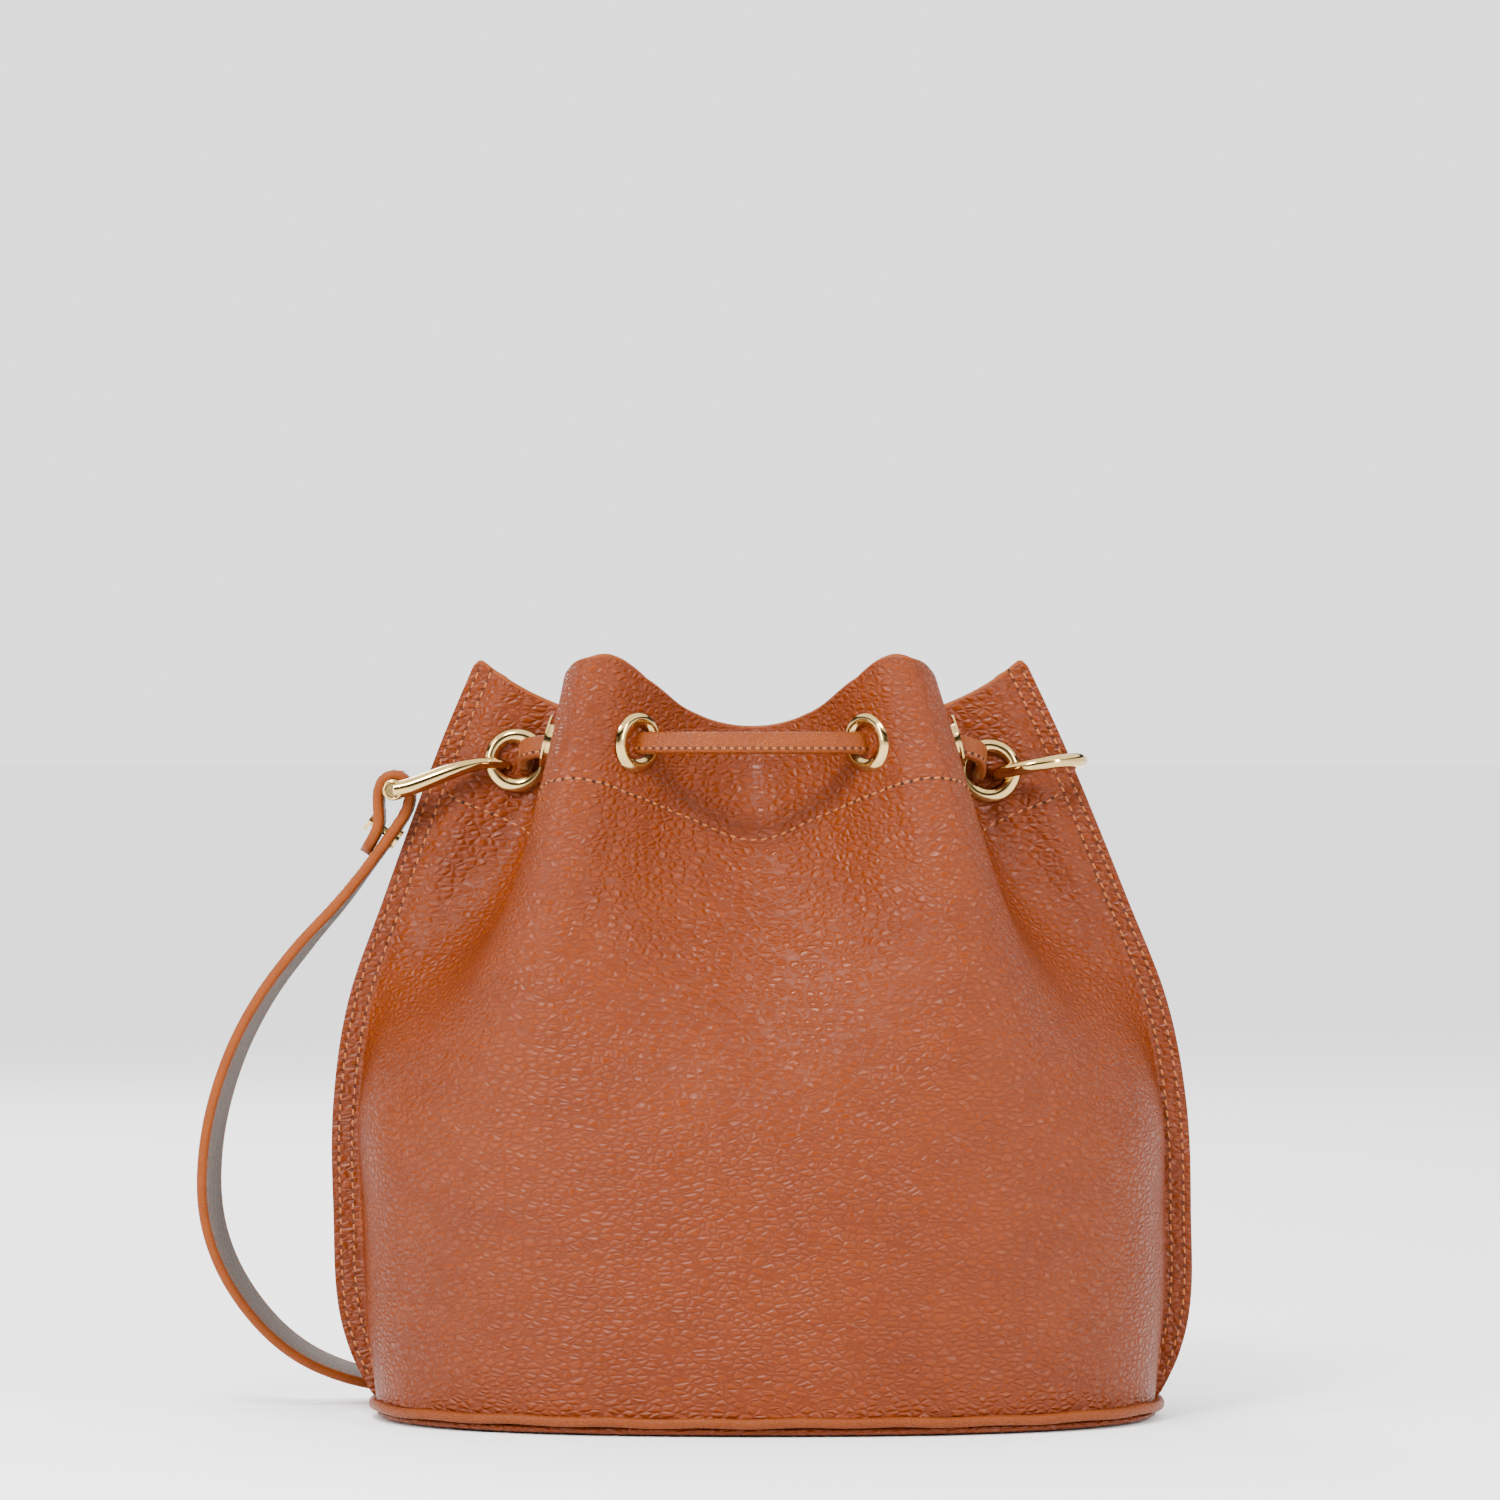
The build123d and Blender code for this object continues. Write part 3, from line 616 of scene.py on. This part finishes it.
def surface(index, height, side, depth=0.0):
    """Points and outward normals of a panel, `depth` inside its outer face.

    Side -1 is the front, 1 the back.
    """
    u_step, z_step = 0.06, 1.5
    index = np.atleast_1d(np.asarray(index, float))
    height = np.broadcast_to(np.asarray(height, float), index.shape)
    flat = lookup(index, height)
    along = lookup(np.minimum(index + u_step, LAST), height) - lookup(np.maximum(index - u_step, 0), height)
    above, below = np.minimum(height + z_step, TOP - 0.1), np.maximum(height - z_step, BOTTOM)
    rise = lookup(index, above) - lookup(index, below)
    along3 = np.concatenate([along, np.zeros_like(along[:, :1])], axis=1)
    rise3 = np.concatenate([rise, np.full_like(rise[:, :1], 2 * z_step)], axis=1)
    # The line runs from the right tip round the front to the left tip, so this points away from the bag.
    normal = unit_rows(np.cross(rise3, along3))
    normal = np.where((normal[:, 1] > 0)[:, None] & (np.abs(normal[:, 1:2]) > 0.9), -normal, normal)
    points = np.concatenate([flat, height[:, None]], axis=1)
    # The waves fade out towards the stitched side seams.
    calm = np.clip(from_seam(index) / 2.5, 0, 1)
    swell = unevenness(points[:, 0], points[:, 1], points[:, 2], 1.3 if side < 0 else 4.1) * calm
    depth = np.broadcast_to(np.asarray(depth, float), index.shape)
    points = points + normal * (swell - depth)[:, None]
    if np.any(depth > 0):
        # Nothing reaches through the seam plane into the other panel.
        points[:, 1] = np.minimum(points[:, 1], -0.08)
    points[:, 0] += LEAN * height
    if side > 0:
        points[:, 1] *= -1
        normal = normal * np.array([1, -1, 1])
    return points, normal


def grid_faces(rows, columns, flip=False):
    faces = []
    for r in range(rows - 1):
        for c in range(columns - 1):
            a = r * columns + c
            quad = (a, a + 1, a + columns + 1, a + columns)
            faces.append(quad[::-1] if flip else quad)
    return faces


EVEN_AT = 150  # height at which columns are evenly spaced
EVEN_U = np.linspace(0, LAST, 1201)
EVEN_RUNS = distances(outline(EVEN_U, EVEN_AT))


def places(count, start=0.0, end=LAST):
    """Places along the section, evenly spaced in millimetres at one height."""
    first, last = np.interp([start, end], EVEN_U, EVEN_RUNS)
    return np.interp(np.linspace(first, last, count), EVEN_RUNS, EVEN_U)


CORNER_RADIUS = 2.8
FLANGE_WIDTH = 7.0


def rim(index):
    """Height of the cut edge, with the flanges' top corners rounded off."""
    index = np.atleast_1d(np.asarray(index, float))
    inset = from_seam(index)
    # The wings are cut straight; the bulges and the valley are cut in a curve.
    curved = cubic(INDEX, RIM_FULL[:, None], index)[:, 0]
    straight = np.interp(index, INDEX, RIM_FULL)
    height = curved + (straight - curved) * np.clip(4.5 - inset, 0, 1)
    from_tip = np.clip(inset * FLANGE_WIDTH / CORNER_RADIUS, 0, 1)
    return height - CORNER_RADIUS * (1 - np.sqrt(1 - (1 - from_tip) ** 2))


# ---------------------------------------------------------------- the two panels
COLUMNS = 340
ROWS = 170
INNER_ROWS = 60
INNER_LOW = 160  # the leather band inside the mouth goes down to here, over the lining's top
EDGE_ROUND = 0.9
EDGE_TURNS = (35, 70, 110, 145)
# By the place from the flange tip: one layer on the flange, leather and facing on the body, then the lining.
THICK_AT = (0, 1, 2)
PANEL_THICK = (1.7, 1.7, 3.0)
LINING_DEPTH = (1.75, 1.75, 2.3)
LINING_COLUMNS, LINING_ROWS = 160, 90
# Height of the facing's stitch line, from the tip of the flange to the middle.
FACING_LOW = np.array([180.5, 180.5, 178.6, 174.6, 170.5, 168.5, 173, 182.5, 185, 184.4, 180.8, 173.6, 167.2])
FACING_LINE = np.concatenate([FACING_LOW, FACING_LOW[-2::-1]])


def facing_line(index):
    return cubic(INDEX, FACING_LINE[:, None], np.atleast_1d(np.asarray(index, float)))[:, 0]


def panel(name, side):
    """Outer face, rounded cut edge at the mouth, and the band inside the mouth."""
    u = places(COLUMNS)
    edge = rim(u) - EDGE_ROUND
    thick = np.interp(from_seam(u), THICK_AT, PANEL_THICK)
    rows = []
    for v in np.linspace(0, 1, ROWS) ** 0.95:
        rows.append(surface(u, BOTTOM + (edge - BOTTOM) * v, side)[0])
    for turn in EDGE_TURNS:
        angle = math.radians(turn)
        reach = thick / 2 * (1 - math.cos(angle))
        rows.append(surface(u, edge + EDGE_ROUND * math.sin(angle), side, reach)[0])
    for v in np.linspace(0, 1, INNER_ROWS):
        rows.append(surface(u, edge - (edge - INNER_LOW) * v, side, thick)[0])
    made = mesh_object(name, np.concatenate(rows), grid_faces(len(rows), COLUMNS, flip=side > 0))
    made.data.materials.append(leather)
    made.data.materials.append(edge_paint)
    for face in made.data.polygons:
        row = face.index // (COLUMNS - 1)
        if ROWS - 1 <= row <= ROWS - 1 + len(EDGE_TURNS):
            face.material_index = 1
    return made


def lining(name, side):
    """Cloth sheet inside, tucked behind the leather band at the mouth."""
    u = places(LINING_COLUMNS, 0.8, LAST - 0.8)
    depth = np.interp(from_seam(u), THICK_AT, LINING_DEPTH)
    rows = [
        surface(u, z, side, depth + 0.12 * np.sin(u * 9 + z * 0.05))[0]
        for z in np.linspace(8, 176, LINING_ROWS)
    ]
    made = mesh_object(name, np.concatenate(rows), grid_faces(LINING_ROWS, LINING_COLUMNS, flip=side < 0))
    made.data.materials.append(lining_cloth)
    solid = made.modifiers.new("thickness", "SOLIDIFY")
    solid.thickness = 0.0004
    return made


front = panel("front_leather", -1)
back = panel("back_leather", 1)
front_cloth = lining("front_lining_cloth", -1)
back_cloth = lining("back_lining_cloth", 1)
for piece, nodes in (
    (front, ("front_panel", "front_facing")),
    (back, ("back_panel", "back_facing")),
    (front_cloth, ("front_lining",)),
    (back_cloth, ("back_lining",)),
):
    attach(piece, "bag")
    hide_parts(*nodes)

# ---------------------------------------------------------------- stitching on the panels
def ride_bag(piece):
    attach(piece, "bag")


FLANGE_POINTS = 220
for side, face in ((-1, "front"), (1, "back")):
    # Two rows down each side flange, 2.2 and 6 mm from the edge.
    for which, tip_u, crease_u in (("right", 0, 1), ("left", LAST, LAST - 1)):
        for row, inset in enumerate((2.2, 6.0)):
            heights = np.linspace(11 + row * 3, 216, FLANGE_POINTS)
            tip = surface(np.full(FLANGE_POINTS, tip_u), heights, side)[0]
            crease = surface(np.full(FLANGE_POINTS, crease_u), heights, side)[0]
            width = np.linalg.norm(tip - crease, axis=1)
            share = np.clip(inset / np.maximum(width, 3), 0, 0.97)
            line, normals = surface(tip_u + (crease_u - tip_u) * share, heights, side)
            name = f"{face}_{which}_flange_stitch_{row + 1}"
            ride_bag(stitches(name, line, normals, slant=0.12))
    u = places(700, 1.1, LAST - 1.1)
    line, normals = surface(u, facing_line(u), side)
    ride_bag(stitches(f"{face}_facing_stitch", line, normals, slant=0.08))

# ---------------------------------------------------------------- base and welt
BASE_HALF_LENGTH, BASE_HALF_DEPTH = 113, 65
BASE_COUNT = 360
# The base from the middle of its underside round to its upper face: (share of the outline, height).
BASE_PROFILE = (
    (0.0001, 0.35), (0.3, 0.3), (0.6, 0.2), (0.85, 0.05), (0.97, 0.0),
    (0.99, 0.15), (1.0, 0.7), (1.0, 1.5), (0.99, 2.0), (0.9, 2.05),
)
WELT_OUT, WELT_UP = 0.2, 3.6
WELT_WIDTH, WELT_HEIGHT, WELT_ROUND = 4.2, 2.9, 1.2
WELT_WAVE = 0.16


def base_edge():
    """Points evenly spaced round the oval base."""
    angle = np.linspace(0, 2 * math.pi, 1440, endpoint=False)
    cos, sin = np.cos(angle), np.sin(angle)
    x = BASE_HALF_LENGTH * np.sign(cos) * np.abs(cos) ** POWER
    y = BASE_HALF_DEPTH * np.sign(sin) * np.abs(sin) ** POWER
    points = np.stack([x, y], axis=1)
    return resample(np.vstack([points, points[:1]]), BASE_COUNT + 1)[:-1]


def welt_piece():
    """The raw-edge band round the base, slightly uneven as a hand-sewn one is."""
    section = [(a + WELT_OUT, b + WELT_UP) for a, b in rounded_section(WELT_WIDTH, WELT_HEIGHT, WELT_ROUND)]
    line = base_edge()
    ahead = np.roll(line, -1, axis=0) - np.roll(line, 1, axis=0)
    out = unit_rows(np.stack([ahead[:, 1], -ahead[:, 0]], axis=1))
    vertices = []
    for i in range(BASE_COUNT):
        lift = WELT_WAVE * (math.sin(i * 0.37) + 0.6 * math.sin(i * 0.113 + 1))
        push = WELT_WAVE * (math.sin(i * 0.21 + 2) + 0.5 * math.sin(i * 0.53))
        for a, b in section:
            place = line[i] + out[i] * (a + push)
            vertices.append((place[0], place[1], max(0.0, b + lift)))
    made = mesh_object("welt_leather", vertices, tube_faces(BASE_COUNT, len(section)))
    made.data.materials.append(smooth_leather)
    fix_normals(made)
    return made


def base_piece():
    edge = base_edge()
    rows = [np.concatenate([edge * share, np.full((BASE_COUNT, 1), z)], axis=1) for share, z in BASE_PROFILE]
    faces = []
    for r in range(len(rows) - 1):
        low, high = r * BASE_COUNT, (r + 1) * BASE_COUNT
        for c in range(BASE_COUNT):
            d = (c + 1) % BASE_COUNT
            faces.append((low + c, low + d, high + d, high + c))
    made = mesh_object("base_leather", np.concatenate(rows), faces)
    made.data.materials.append(leather)
    fix_normals(made)
    return made


welt = welt_piece()
ride_bag(welt)
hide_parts("base_welt")
base = base_piece()
ride_bag(base)
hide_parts("base_panel")

# ---------------------------------------------------------------- drawstring
WING_Z = {-1: 190.0, 1: 187.0}  # height of the wing eyelets on the left and on the right
CORD_WIDTH, CORD_THICK, CORD_ROUND = 6.3, 3.0, 1.0
CORD_STITCH_OFFSET = 2.0  # from the middle of the cord towards its edge


def drawstring_half(side):
    """Its route from the middle of the front through the eyelets to its end at the back."""
    wz = WING_Z[side]
    half = [
        (27.5, -46.5, 195), (43, -25.5, 195), (66, -25, 194), (66, -9, wz + 0.3), (66, 9, wz + 0.3),
        (66, 25, 194), (43, 25.5, 195), (27.5, 46.5, 195), (3.4, 48, 191), (3.4, 71, 92),
    ]
    return [(x * side + LEAN * z, y, z) for x, y, z in half]


cord_points = drawstring_half(-1)[::-1] + drawstring_half(1)
cord_line = resample(nurbs_points(cord_points), step=1.2)
cord_sides, cord_ups = frames_along(cord_line, (1, 0, 0))
cord_section = rounded_section(CORD_WIDTH, CORD_THICK, CORD_ROUND, 3)
drawstring = sweep("drawstring_leather", cord_line, cord_sides, cord_section)
drawstring.data.materials.append(smooth_leather)
ride_bag(drawstring)
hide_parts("drawstring")
for name, sign in (("drawstring_stitch_outer", 1), ("drawstring_stitch_inner", -1)):
    row = cord_line - cord_sides * CORD_STITCH_OFFSET + cord_ups * sign * CORD_THICK / 2
    ride_bag(stitches(name, row, cord_ups * sign, pitch=2.4, length=1.8, radius=0.3))

# ---------------------------------------------------------------- shoulder strap
# Routes: the end loops as (x, z) and (y, z), and the CAD's run between them as (x, y, z). The run's first and
# last points give way to the loops.
LOOP_LEFT = [
    (-116.4, 158.1), (-112.6, 163.3), (-107.5, 170.3), (-103.9, 176.0), (-103.2, 181.5), (-106.3, 186.0),
    (-110.8, 185.4), (-112.8, 181.0), (-112.6, 175.5), (-112.3, 171.5), (-114.2, 167.3), (-116.9, 163.2),
]
LOOP_RIGHT_X = 78.8
LOOP_RIGHT = [
    (22.5, 163.0), (19.3, 172.0), (17.5, 181.0), (16.7, 188.2), (12.4, 191.3),
    (7.9, 188.2), (7.6, 181.5), (10.6, 175.5), (14.2, 170.0), (17.0, 163.5),
]
STRAP = [
    (-116.7, 0, 157.7), (-124, 0.5, 148.2), (-134.5, 1, 136.8), (-147, 2, 120.5), (-156.5, 4, 101.5),
    (-162.5, 7, 79), (-163, 11, 56), (-155.5, 17, 35.5), (-140.5, 26, 17), (-121, 38, 7), (-101, 55, 4.2),
    (-75, 70, 3.9), (-46, 79, 3.9), (-14, 82.5, 3.9), (20, 81.5, 3.9), (50, 80, 3.9), (76, 73, 4.8),
    (93, 66, 13), (98, 60, 31), (96, 57, 53), (93, 55, 76), (90, 52.5, 98), (86, 44.5, 118),
    (81.5, 35, 136), (79.2, 27.5, 150.5), (78.8, 22.7, 162.7),
]
# Width direction at lengths along the strap: across the bag at the shackle, level on the floor, turned to
# face the ring.
WIDTHS = [
    (0, (0, 1, 0)), (60, (0, 1, 0)), (90, (0.2, 0.97, 0)), (170, (0.26, 0.96, 0)), (250, (0.2, 0.95, 0.05)),
    (300, (-0.25, 0.95, 0.05)), (340, (-0.55, 0.83, 0)), (390, (-0.4, 0.92, 0)), (430, (-0.05, 1, 0)),
    (500, (0.1, 1, 0)), (545, (0.35, 0.94, 0)), (570, (0.3, 0.96, 0)), (595, (0.3, 0.95, 0)),
    (620, (0.5, 0.85, 0)), (650, (0.8, 0.6, 0)), (680, (1, 0.15, 0)), (900, (1, 0, 0)),
]
STRAP_WIDTH, STRAP_THICK = 15.0, 3.0
STRAP_SKIVED = 2.0  # thickness of the right loop where it goes through the ring
SKIVE_FROM, SKIVE_TO = 18, 26
CLOTH_FROM = 34.0  # the left loop is leather on both faces up to here
CLOTH_TO = 24  # and the right one from here on
STRAP_CORNER, STRAP_BEVEL = 0.9, 0.3
STRAP_STITCH_INSET = 2.0
GRAIN, CLOTH, EDGE = 0, 1, 2
# Material of each face round the strap's section: edge, inner face, edge, outer face.
SECTION_KINDS = [EDGE] * 5 + [CLOTH] * 2 + [EDGE] * 5 + [GRAIN] * 4


def strap_section(w, t):
    """Bevelled section with a slightly domed outer face; w and t are half the width and the thickness."""
    c, b = STRAP_CORNER, STRAP_BEVEL
    return [
        (w - c, t), (w - b, t - b), (w, t - c), (w, -t + c), (w - b, -t + b), (w - c, -t),
        (0, -t), (-w + c, -t), (-w + b, -t + b), (-w, -t + c), (-w, t - c), (-w + b, t - b),
        (-w + c, t), (-w * 0.5, t + 0.12), (0, t + 0.18), (w * 0.5, t + 0.12),
    ]


def band(name, line, outward, thickness, round_start=False, round_end=False):
    """Flat strap along a line, grain leather outside and cloth inside, and its rows of stitches."""
    tangents = tangents_of(line)
    outward = unit_rows(outward - tangents * np.sum(outward * tangents, axis=1)[:, None])
    sides = np.cross(outward, tangents)
    thickness = np.broadcast_to(thickness, len(line))
    along = distances(line)
    full = STRAP_WIDTH / 2
    half = np.full(len(line), full)
    for rounded, near in ((round_start, along), (round_end, along[-1] - along)):
        if rounded:
            inside = near < full
            half[inside] = np.sqrt(np.maximum(1 - (1 - near[inside] / full) ** 2, 0.02)) * full
    vertices, faces, kinds = [], [], []
    for i in range(len(line)):
        ring = strap_section(half[i], thickness[i] / 2)
        vertices.extend(line[i] + sides[i] * a + outward[i] * b for a, b in ring)
    size = len(SECTION_KINDS)
    for i in range(len(line) - 1):
        for j in range(size):
            k = (j + 1) % size
            faces.append((i * size + j, (i + 1) * size + j, (i + 1) * size + k, i * size + k))
        kinds += SECTION_KINDS
    for row, order in ((0, 1), (len(line) - 1, -1)):
        faces.append(tuple(row * size + j for j in range(size))[::order])
        kinds.append(EDGE)
    made = mesh_object(name, vertices, faces)
    for skin in (leather, strap_cloth, edge_paint):
        made.data.materials.append(skin)
    for face, kind in zip(made.data.polygons, kinds):
        face.material_index = kind
    fix_normals(made)
    # Stitches along both edges of both faces, as far as the strap has its full width.
    keep = half > full - 0.5
    line, sides, outward = line[keep], sides[keep], outward[keep]
    face_at = thickness[keep][:, None] / 2
    rows = []
    for n, sign in enumerate((1, -1)):
        middle = line + sides * sign * (full - STRAP_STITCH_INSET)
        outer, inner = middle + outward * (face_at + 0.05), middle - outward * (face_at - 0.05)
        rows.append(stitches(f"{name}_stitch_{n + 1}", outer, outward, radius=0.34))
        rows.append(stitches(f"{name}_stitch_in_{n + 1}", inner, -outward, radius=0.3))
    return made, rows


def unlined(piece, along, chosen):
    """Plain leather in place of cloth on the inner face, at the chosen lengths along the strap."""
    for face in piece.data.polygons:
        section = min(face.index // len(SECTION_KINDS), len(along) - 1)
        if face.material_index == CLOTH and chosen(along[section]):
            face.material_index = EDGE


left_points = [(x, 0, z) for x, z in LOOP_LEFT[::-1]] + STRAP[1:-1]
left_line = resample(nurbs_points(left_points, 16), step=1.6)
left_tangent = tangents_of(left_line)
left_along = distances(left_line)
wide = blended(left_along, [length for length, _ in WIDTHS], np.array([way for _, way in WIDTHS], float))
wide = unit_rows(wide - left_tangent * np.sum(wide * left_tangent, axis=1)[:, None])
left_outward = np.cross(left_tangent, wide)
left_band, left_rows = band("shoulder_strap", left_line, -left_outward, STRAP_THICK, round_start=True)
unlined(left_band, left_along, lambda length: length < CLOTH_FROM)

# The right end starts where the long run stops.
right_points = [STRAP[-3], STRAP[-2], (79.0, 24.6, 157.5)] + [(LOOP_RIGHT_X, y, z) for y, z in LOOP_RIGHT]
right_line = resample(nurbs_points(right_points, 16), step=1.2)
right_line = right_line[int(np.argmin(np.linalg.norm(right_line - left_line[-1], axis=1))):]
right_outward = np.cross(np.gradient(right_line, axis=0), (1.0, 0, 0))
right_along = distances(right_line)
right_thick = np.interp(right_along, (SKIVE_FROM, SKIVE_TO), (STRAP_THICK, STRAP_SKIVED))
right_band, right_rows = band("strap_end_right", right_line, -right_outward, right_thick, round_end=True)
unlined(right_band, right_along, lambda length: length > CLOTH_TO)
for piece in [left_band] + left_rows:
    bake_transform(piece)
for piece in [right_band] + right_rows:
    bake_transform(piece)
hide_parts("strap", "strap_loop_left")
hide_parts("strap_loop_right")

# ---------------------------------------------------------------- shackle
# The front arm from its boss to the middle of the bow; the back arm is its mirror image.
ARM = [
    (-108, -10.4, 181.4), (-104.5, -10.5, 181.8), (-99, -10.4, 183.8), (-93, -10.0, 186.2),
    (-87, -9.2, 188.3), (-81.5, -7.8, 189.4), (-77, -5.4, 189.0), (-74.6, -2.6, 187.9), (-74.2, 0, 187.3),
]
ARM_RADII = [2.45, 2.55, 2.5, 2.4, 2.2, 1.95, 1.65, 1.5, 1.45]
arm_both = ARM + [(x, -y, z) for x, y, z in ARM[-2::-1]]
arm_line = resample(nurbs_points(arm_both, 16), step=0.5)
radii_both = ARM_RADII + ARM_RADII[-2::-1]
arm_radius = np.interp(np.linspace(0, 1, len(arm_line)), np.linspace(0, 1, len(radii_both)), radii_both)
arm_sides, _ = frames_along(arm_line, (0, 0, 1))
round_section = [(math.cos(math.radians(a)), math.sin(math.radians(a))) for a in range(0, 360, 15)]


def spun(name, profile, centre, axis, count=48):
    """A profile of (radius, height) turned about an axis."""
    axis = unit(axis)
    across = unit(np.cross(axis, (0.3, 0.2, 1.0)))  # any direction that isn't along the axis does
    other = np.cross(axis, across)
    vertices = []
    for i in range(count):
        angle = 2 * math.pi * i / count
        way = across * math.cos(angle) + other * math.sin(angle)
        vertices.extend(np.asarray(centre) + way * r + axis * h for r, h in profile)
    made = mesh_object(name, vertices, tube_faces(count, len(profile)))
    fix_normals(made)
    return made


def joined(name, parts):
    chosen = {"active_object": parts[0], "selected_editable_objects": parts, "selected_objects": parts}
    with bpy.context.temp_override(**chosen):
        bpy.ops.object.join()
    parts[0].name = name
    return parts[0]


# The boss round the pin's hole: (radius, height).
BOSS = [
    (2.06, -2.2), (2.6, -2.2), (3.0, -1.8), (3.05, 1.6), (2.85, 2.05), (2.45, 2.2), (2.2, 2.1), (2.06, 1.8),
]
shackle = joined("shackle_metal", [
    sweep("shackle_arm", arm_line, arm_sides, round_section, scale=arm_radius),
    spun("boss_front", BOSS, (-108, -10.2, 181.4), (0, -1, 0)),
    spun("boss_back", BOSS, (-108, 10.2, 181.4), (0, 1, 0)),
])
shackle.data.materials.clear()
shackle.data.materials.append(gold)
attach(shackle, "left_shackle")
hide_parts("left_shackle")

# ---------------------------------------------------------------- skins of the CAD pieces that show
def board_material():
    made, nodes, links, shader = material("board")
    where = coordinates(nodes, links, (700, 700, 700))
    speckle = nodes.new("ShaderNodeTexNoise")
    speckle.inputs["Detail"].default_value = 5
    links.new(where, speckle.inputs["Vector"])
    colours = ramp(nodes, [(0.3, (0.05, 0.045, 0.04)), (0.7, (0.09, 0.08, 0.07))])
    links.new(speckle.outputs["Fac"], colours.inputs["Fac"])
    links.new(colours.outputs["Color"], shader.inputs["Base Color"])
    shader.inputs["Roughness"].default_value = 0.8
    return made


SKINS = {"leather_smooth": smooth_leather, "cloth": lining_cloth, "gold": gold, "board": board_material()}
METAL_NODES = ("left_shackle", "right_ring", "shackle_pin")


def skin_of(node):
    """Which skin a CAD node wears; None for the leather ones, which this script replaces."""
    if node.startswith("eyelet") or "rivet" in node or "tip" in node or node in METAL_NODES:
        return "gold"
    if "lining" in node or "pocket" in node:
        return "cloth"
    if "stiffener" in node:
        return "board"
    return "leather_smooth" if node == "cord_slider" else None


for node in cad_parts:
    skin = skin_of(node)
    if skin:
        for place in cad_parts[node].material_slots:
            place.material = SKINS[skin]

# ---------------------------------------------------------------- floor and light
FLOOR_SIZE, FLOOR_DROP = 160, 0.0005  # metres
bpy.ops.mesh.primitive_plane_add(size=FLOOR_SIZE, location=(0, 0, -FLOOR_DROP))
floor = bpy.context.object
floor.name = "floor"
floor.data.materials.append(floor_material())

# Pale round the horizon, a dark band above it for the metal's dark reflections, then white.
WHITE, HORIZON, BAND = (1.0, 1.0, 1.0), (0.86, 0.86, 0.86), (0.03, 0.03, 0.03)
SKY = [(0.0, HORIZON), (0.26, HORIZON), (0.30, BAND), (0.46, BAND), (0.52, WHITE), (1.0, WHITE)]
SKY_STRENGTH = 2.4


def studio_world():
    world = bpy.data.worlds.new("studio")
    world.use_nodes = True
    nodes, links = world.node_tree.nodes, world.node_tree.links
    place = nodes.new("ShaderNodeTexCoord")
    split = nodes.new("ShaderNodeSeparateXYZ")
    links.new(place.outputs["Generated"], split.inputs["Vector"])
    sky = nodes.new("ShaderNodeValToRGB")
    elements = sky.color_ramp.elements
    for height, _ in SKY[1:-1]:
        elements.new(height)
    for element, (height, colour) in zip(elements, SKY):
        element.position = height
        element.color = (*colour, 1)
    links.new(split.outputs["Z"], sky.inputs["Fac"])
    # A dark patch of studio on the camera's side, which the metal mirrors as dark streaks.
    patch = nodes.new("ShaderNodeMapRange")
    patch.inputs["From Min"].default_value = -0.95
    patch.inputs["From Max"].default_value = -0.78
    patch.inputs["To Min"].default_value = 0.08
    patch.inputs["To Max"].default_value = 1.0
    links.new(split.outputs["Y"], patch.inputs["Value"])
    shaded = nodes.new("ShaderNodeMixRGB")
    shaded.blend_type = "MULTIPLY"
    shaded.inputs["Fac"].default_value = 1.0
    links.new(sky.outputs["Color"], shaded.inputs["Color1"])
    links.new(patch.outputs["Result"], shaded.inputs["Color2"])
    links.new(shaded.outputs["Color"], nodes["Background"].inputs["Color"])
    nodes["Background"].inputs["Strength"].default_value = SKY_STRENGTH
    return world


bpy.context.scene.world = studio_world()


def soft_light(name, place, target, size, power, tint=(1, 1, 1)):
    light = bpy.data.lights.new(name, "AREA")
    light.shape = "RECTANGLE"
    light.size, light.size_y = size
    light.energy = power
    light.color = tint
    holder = new_object(name, light)
    holder.location = place
    holder.rotation_euler = (Vector(target) - Vector(place)).to_track_quat("-Z", "Y").to_euler()


soft_light("key", (-0.28, -0.75, 0.95), (0, -0.05, 0.17), (0.26, 0.2), 17, (1, 0.985, 0.96))
soft_light("strip_left", (-1.15, -1.0, 0.65), (0, 0, 0.13), (0.25, 0.9), 22, (1, 0.985, 0.965))
soft_light("strip_right", (1.15, -1.0, 0.65), (0, 0, 0.13), (0.25, 0.9), 22, (1, 0.985, 0.965))
soft_light("behind", (-0.6, 1.5, 1.2), (0, 0, 0.12), (0.8, 0.8), 26)
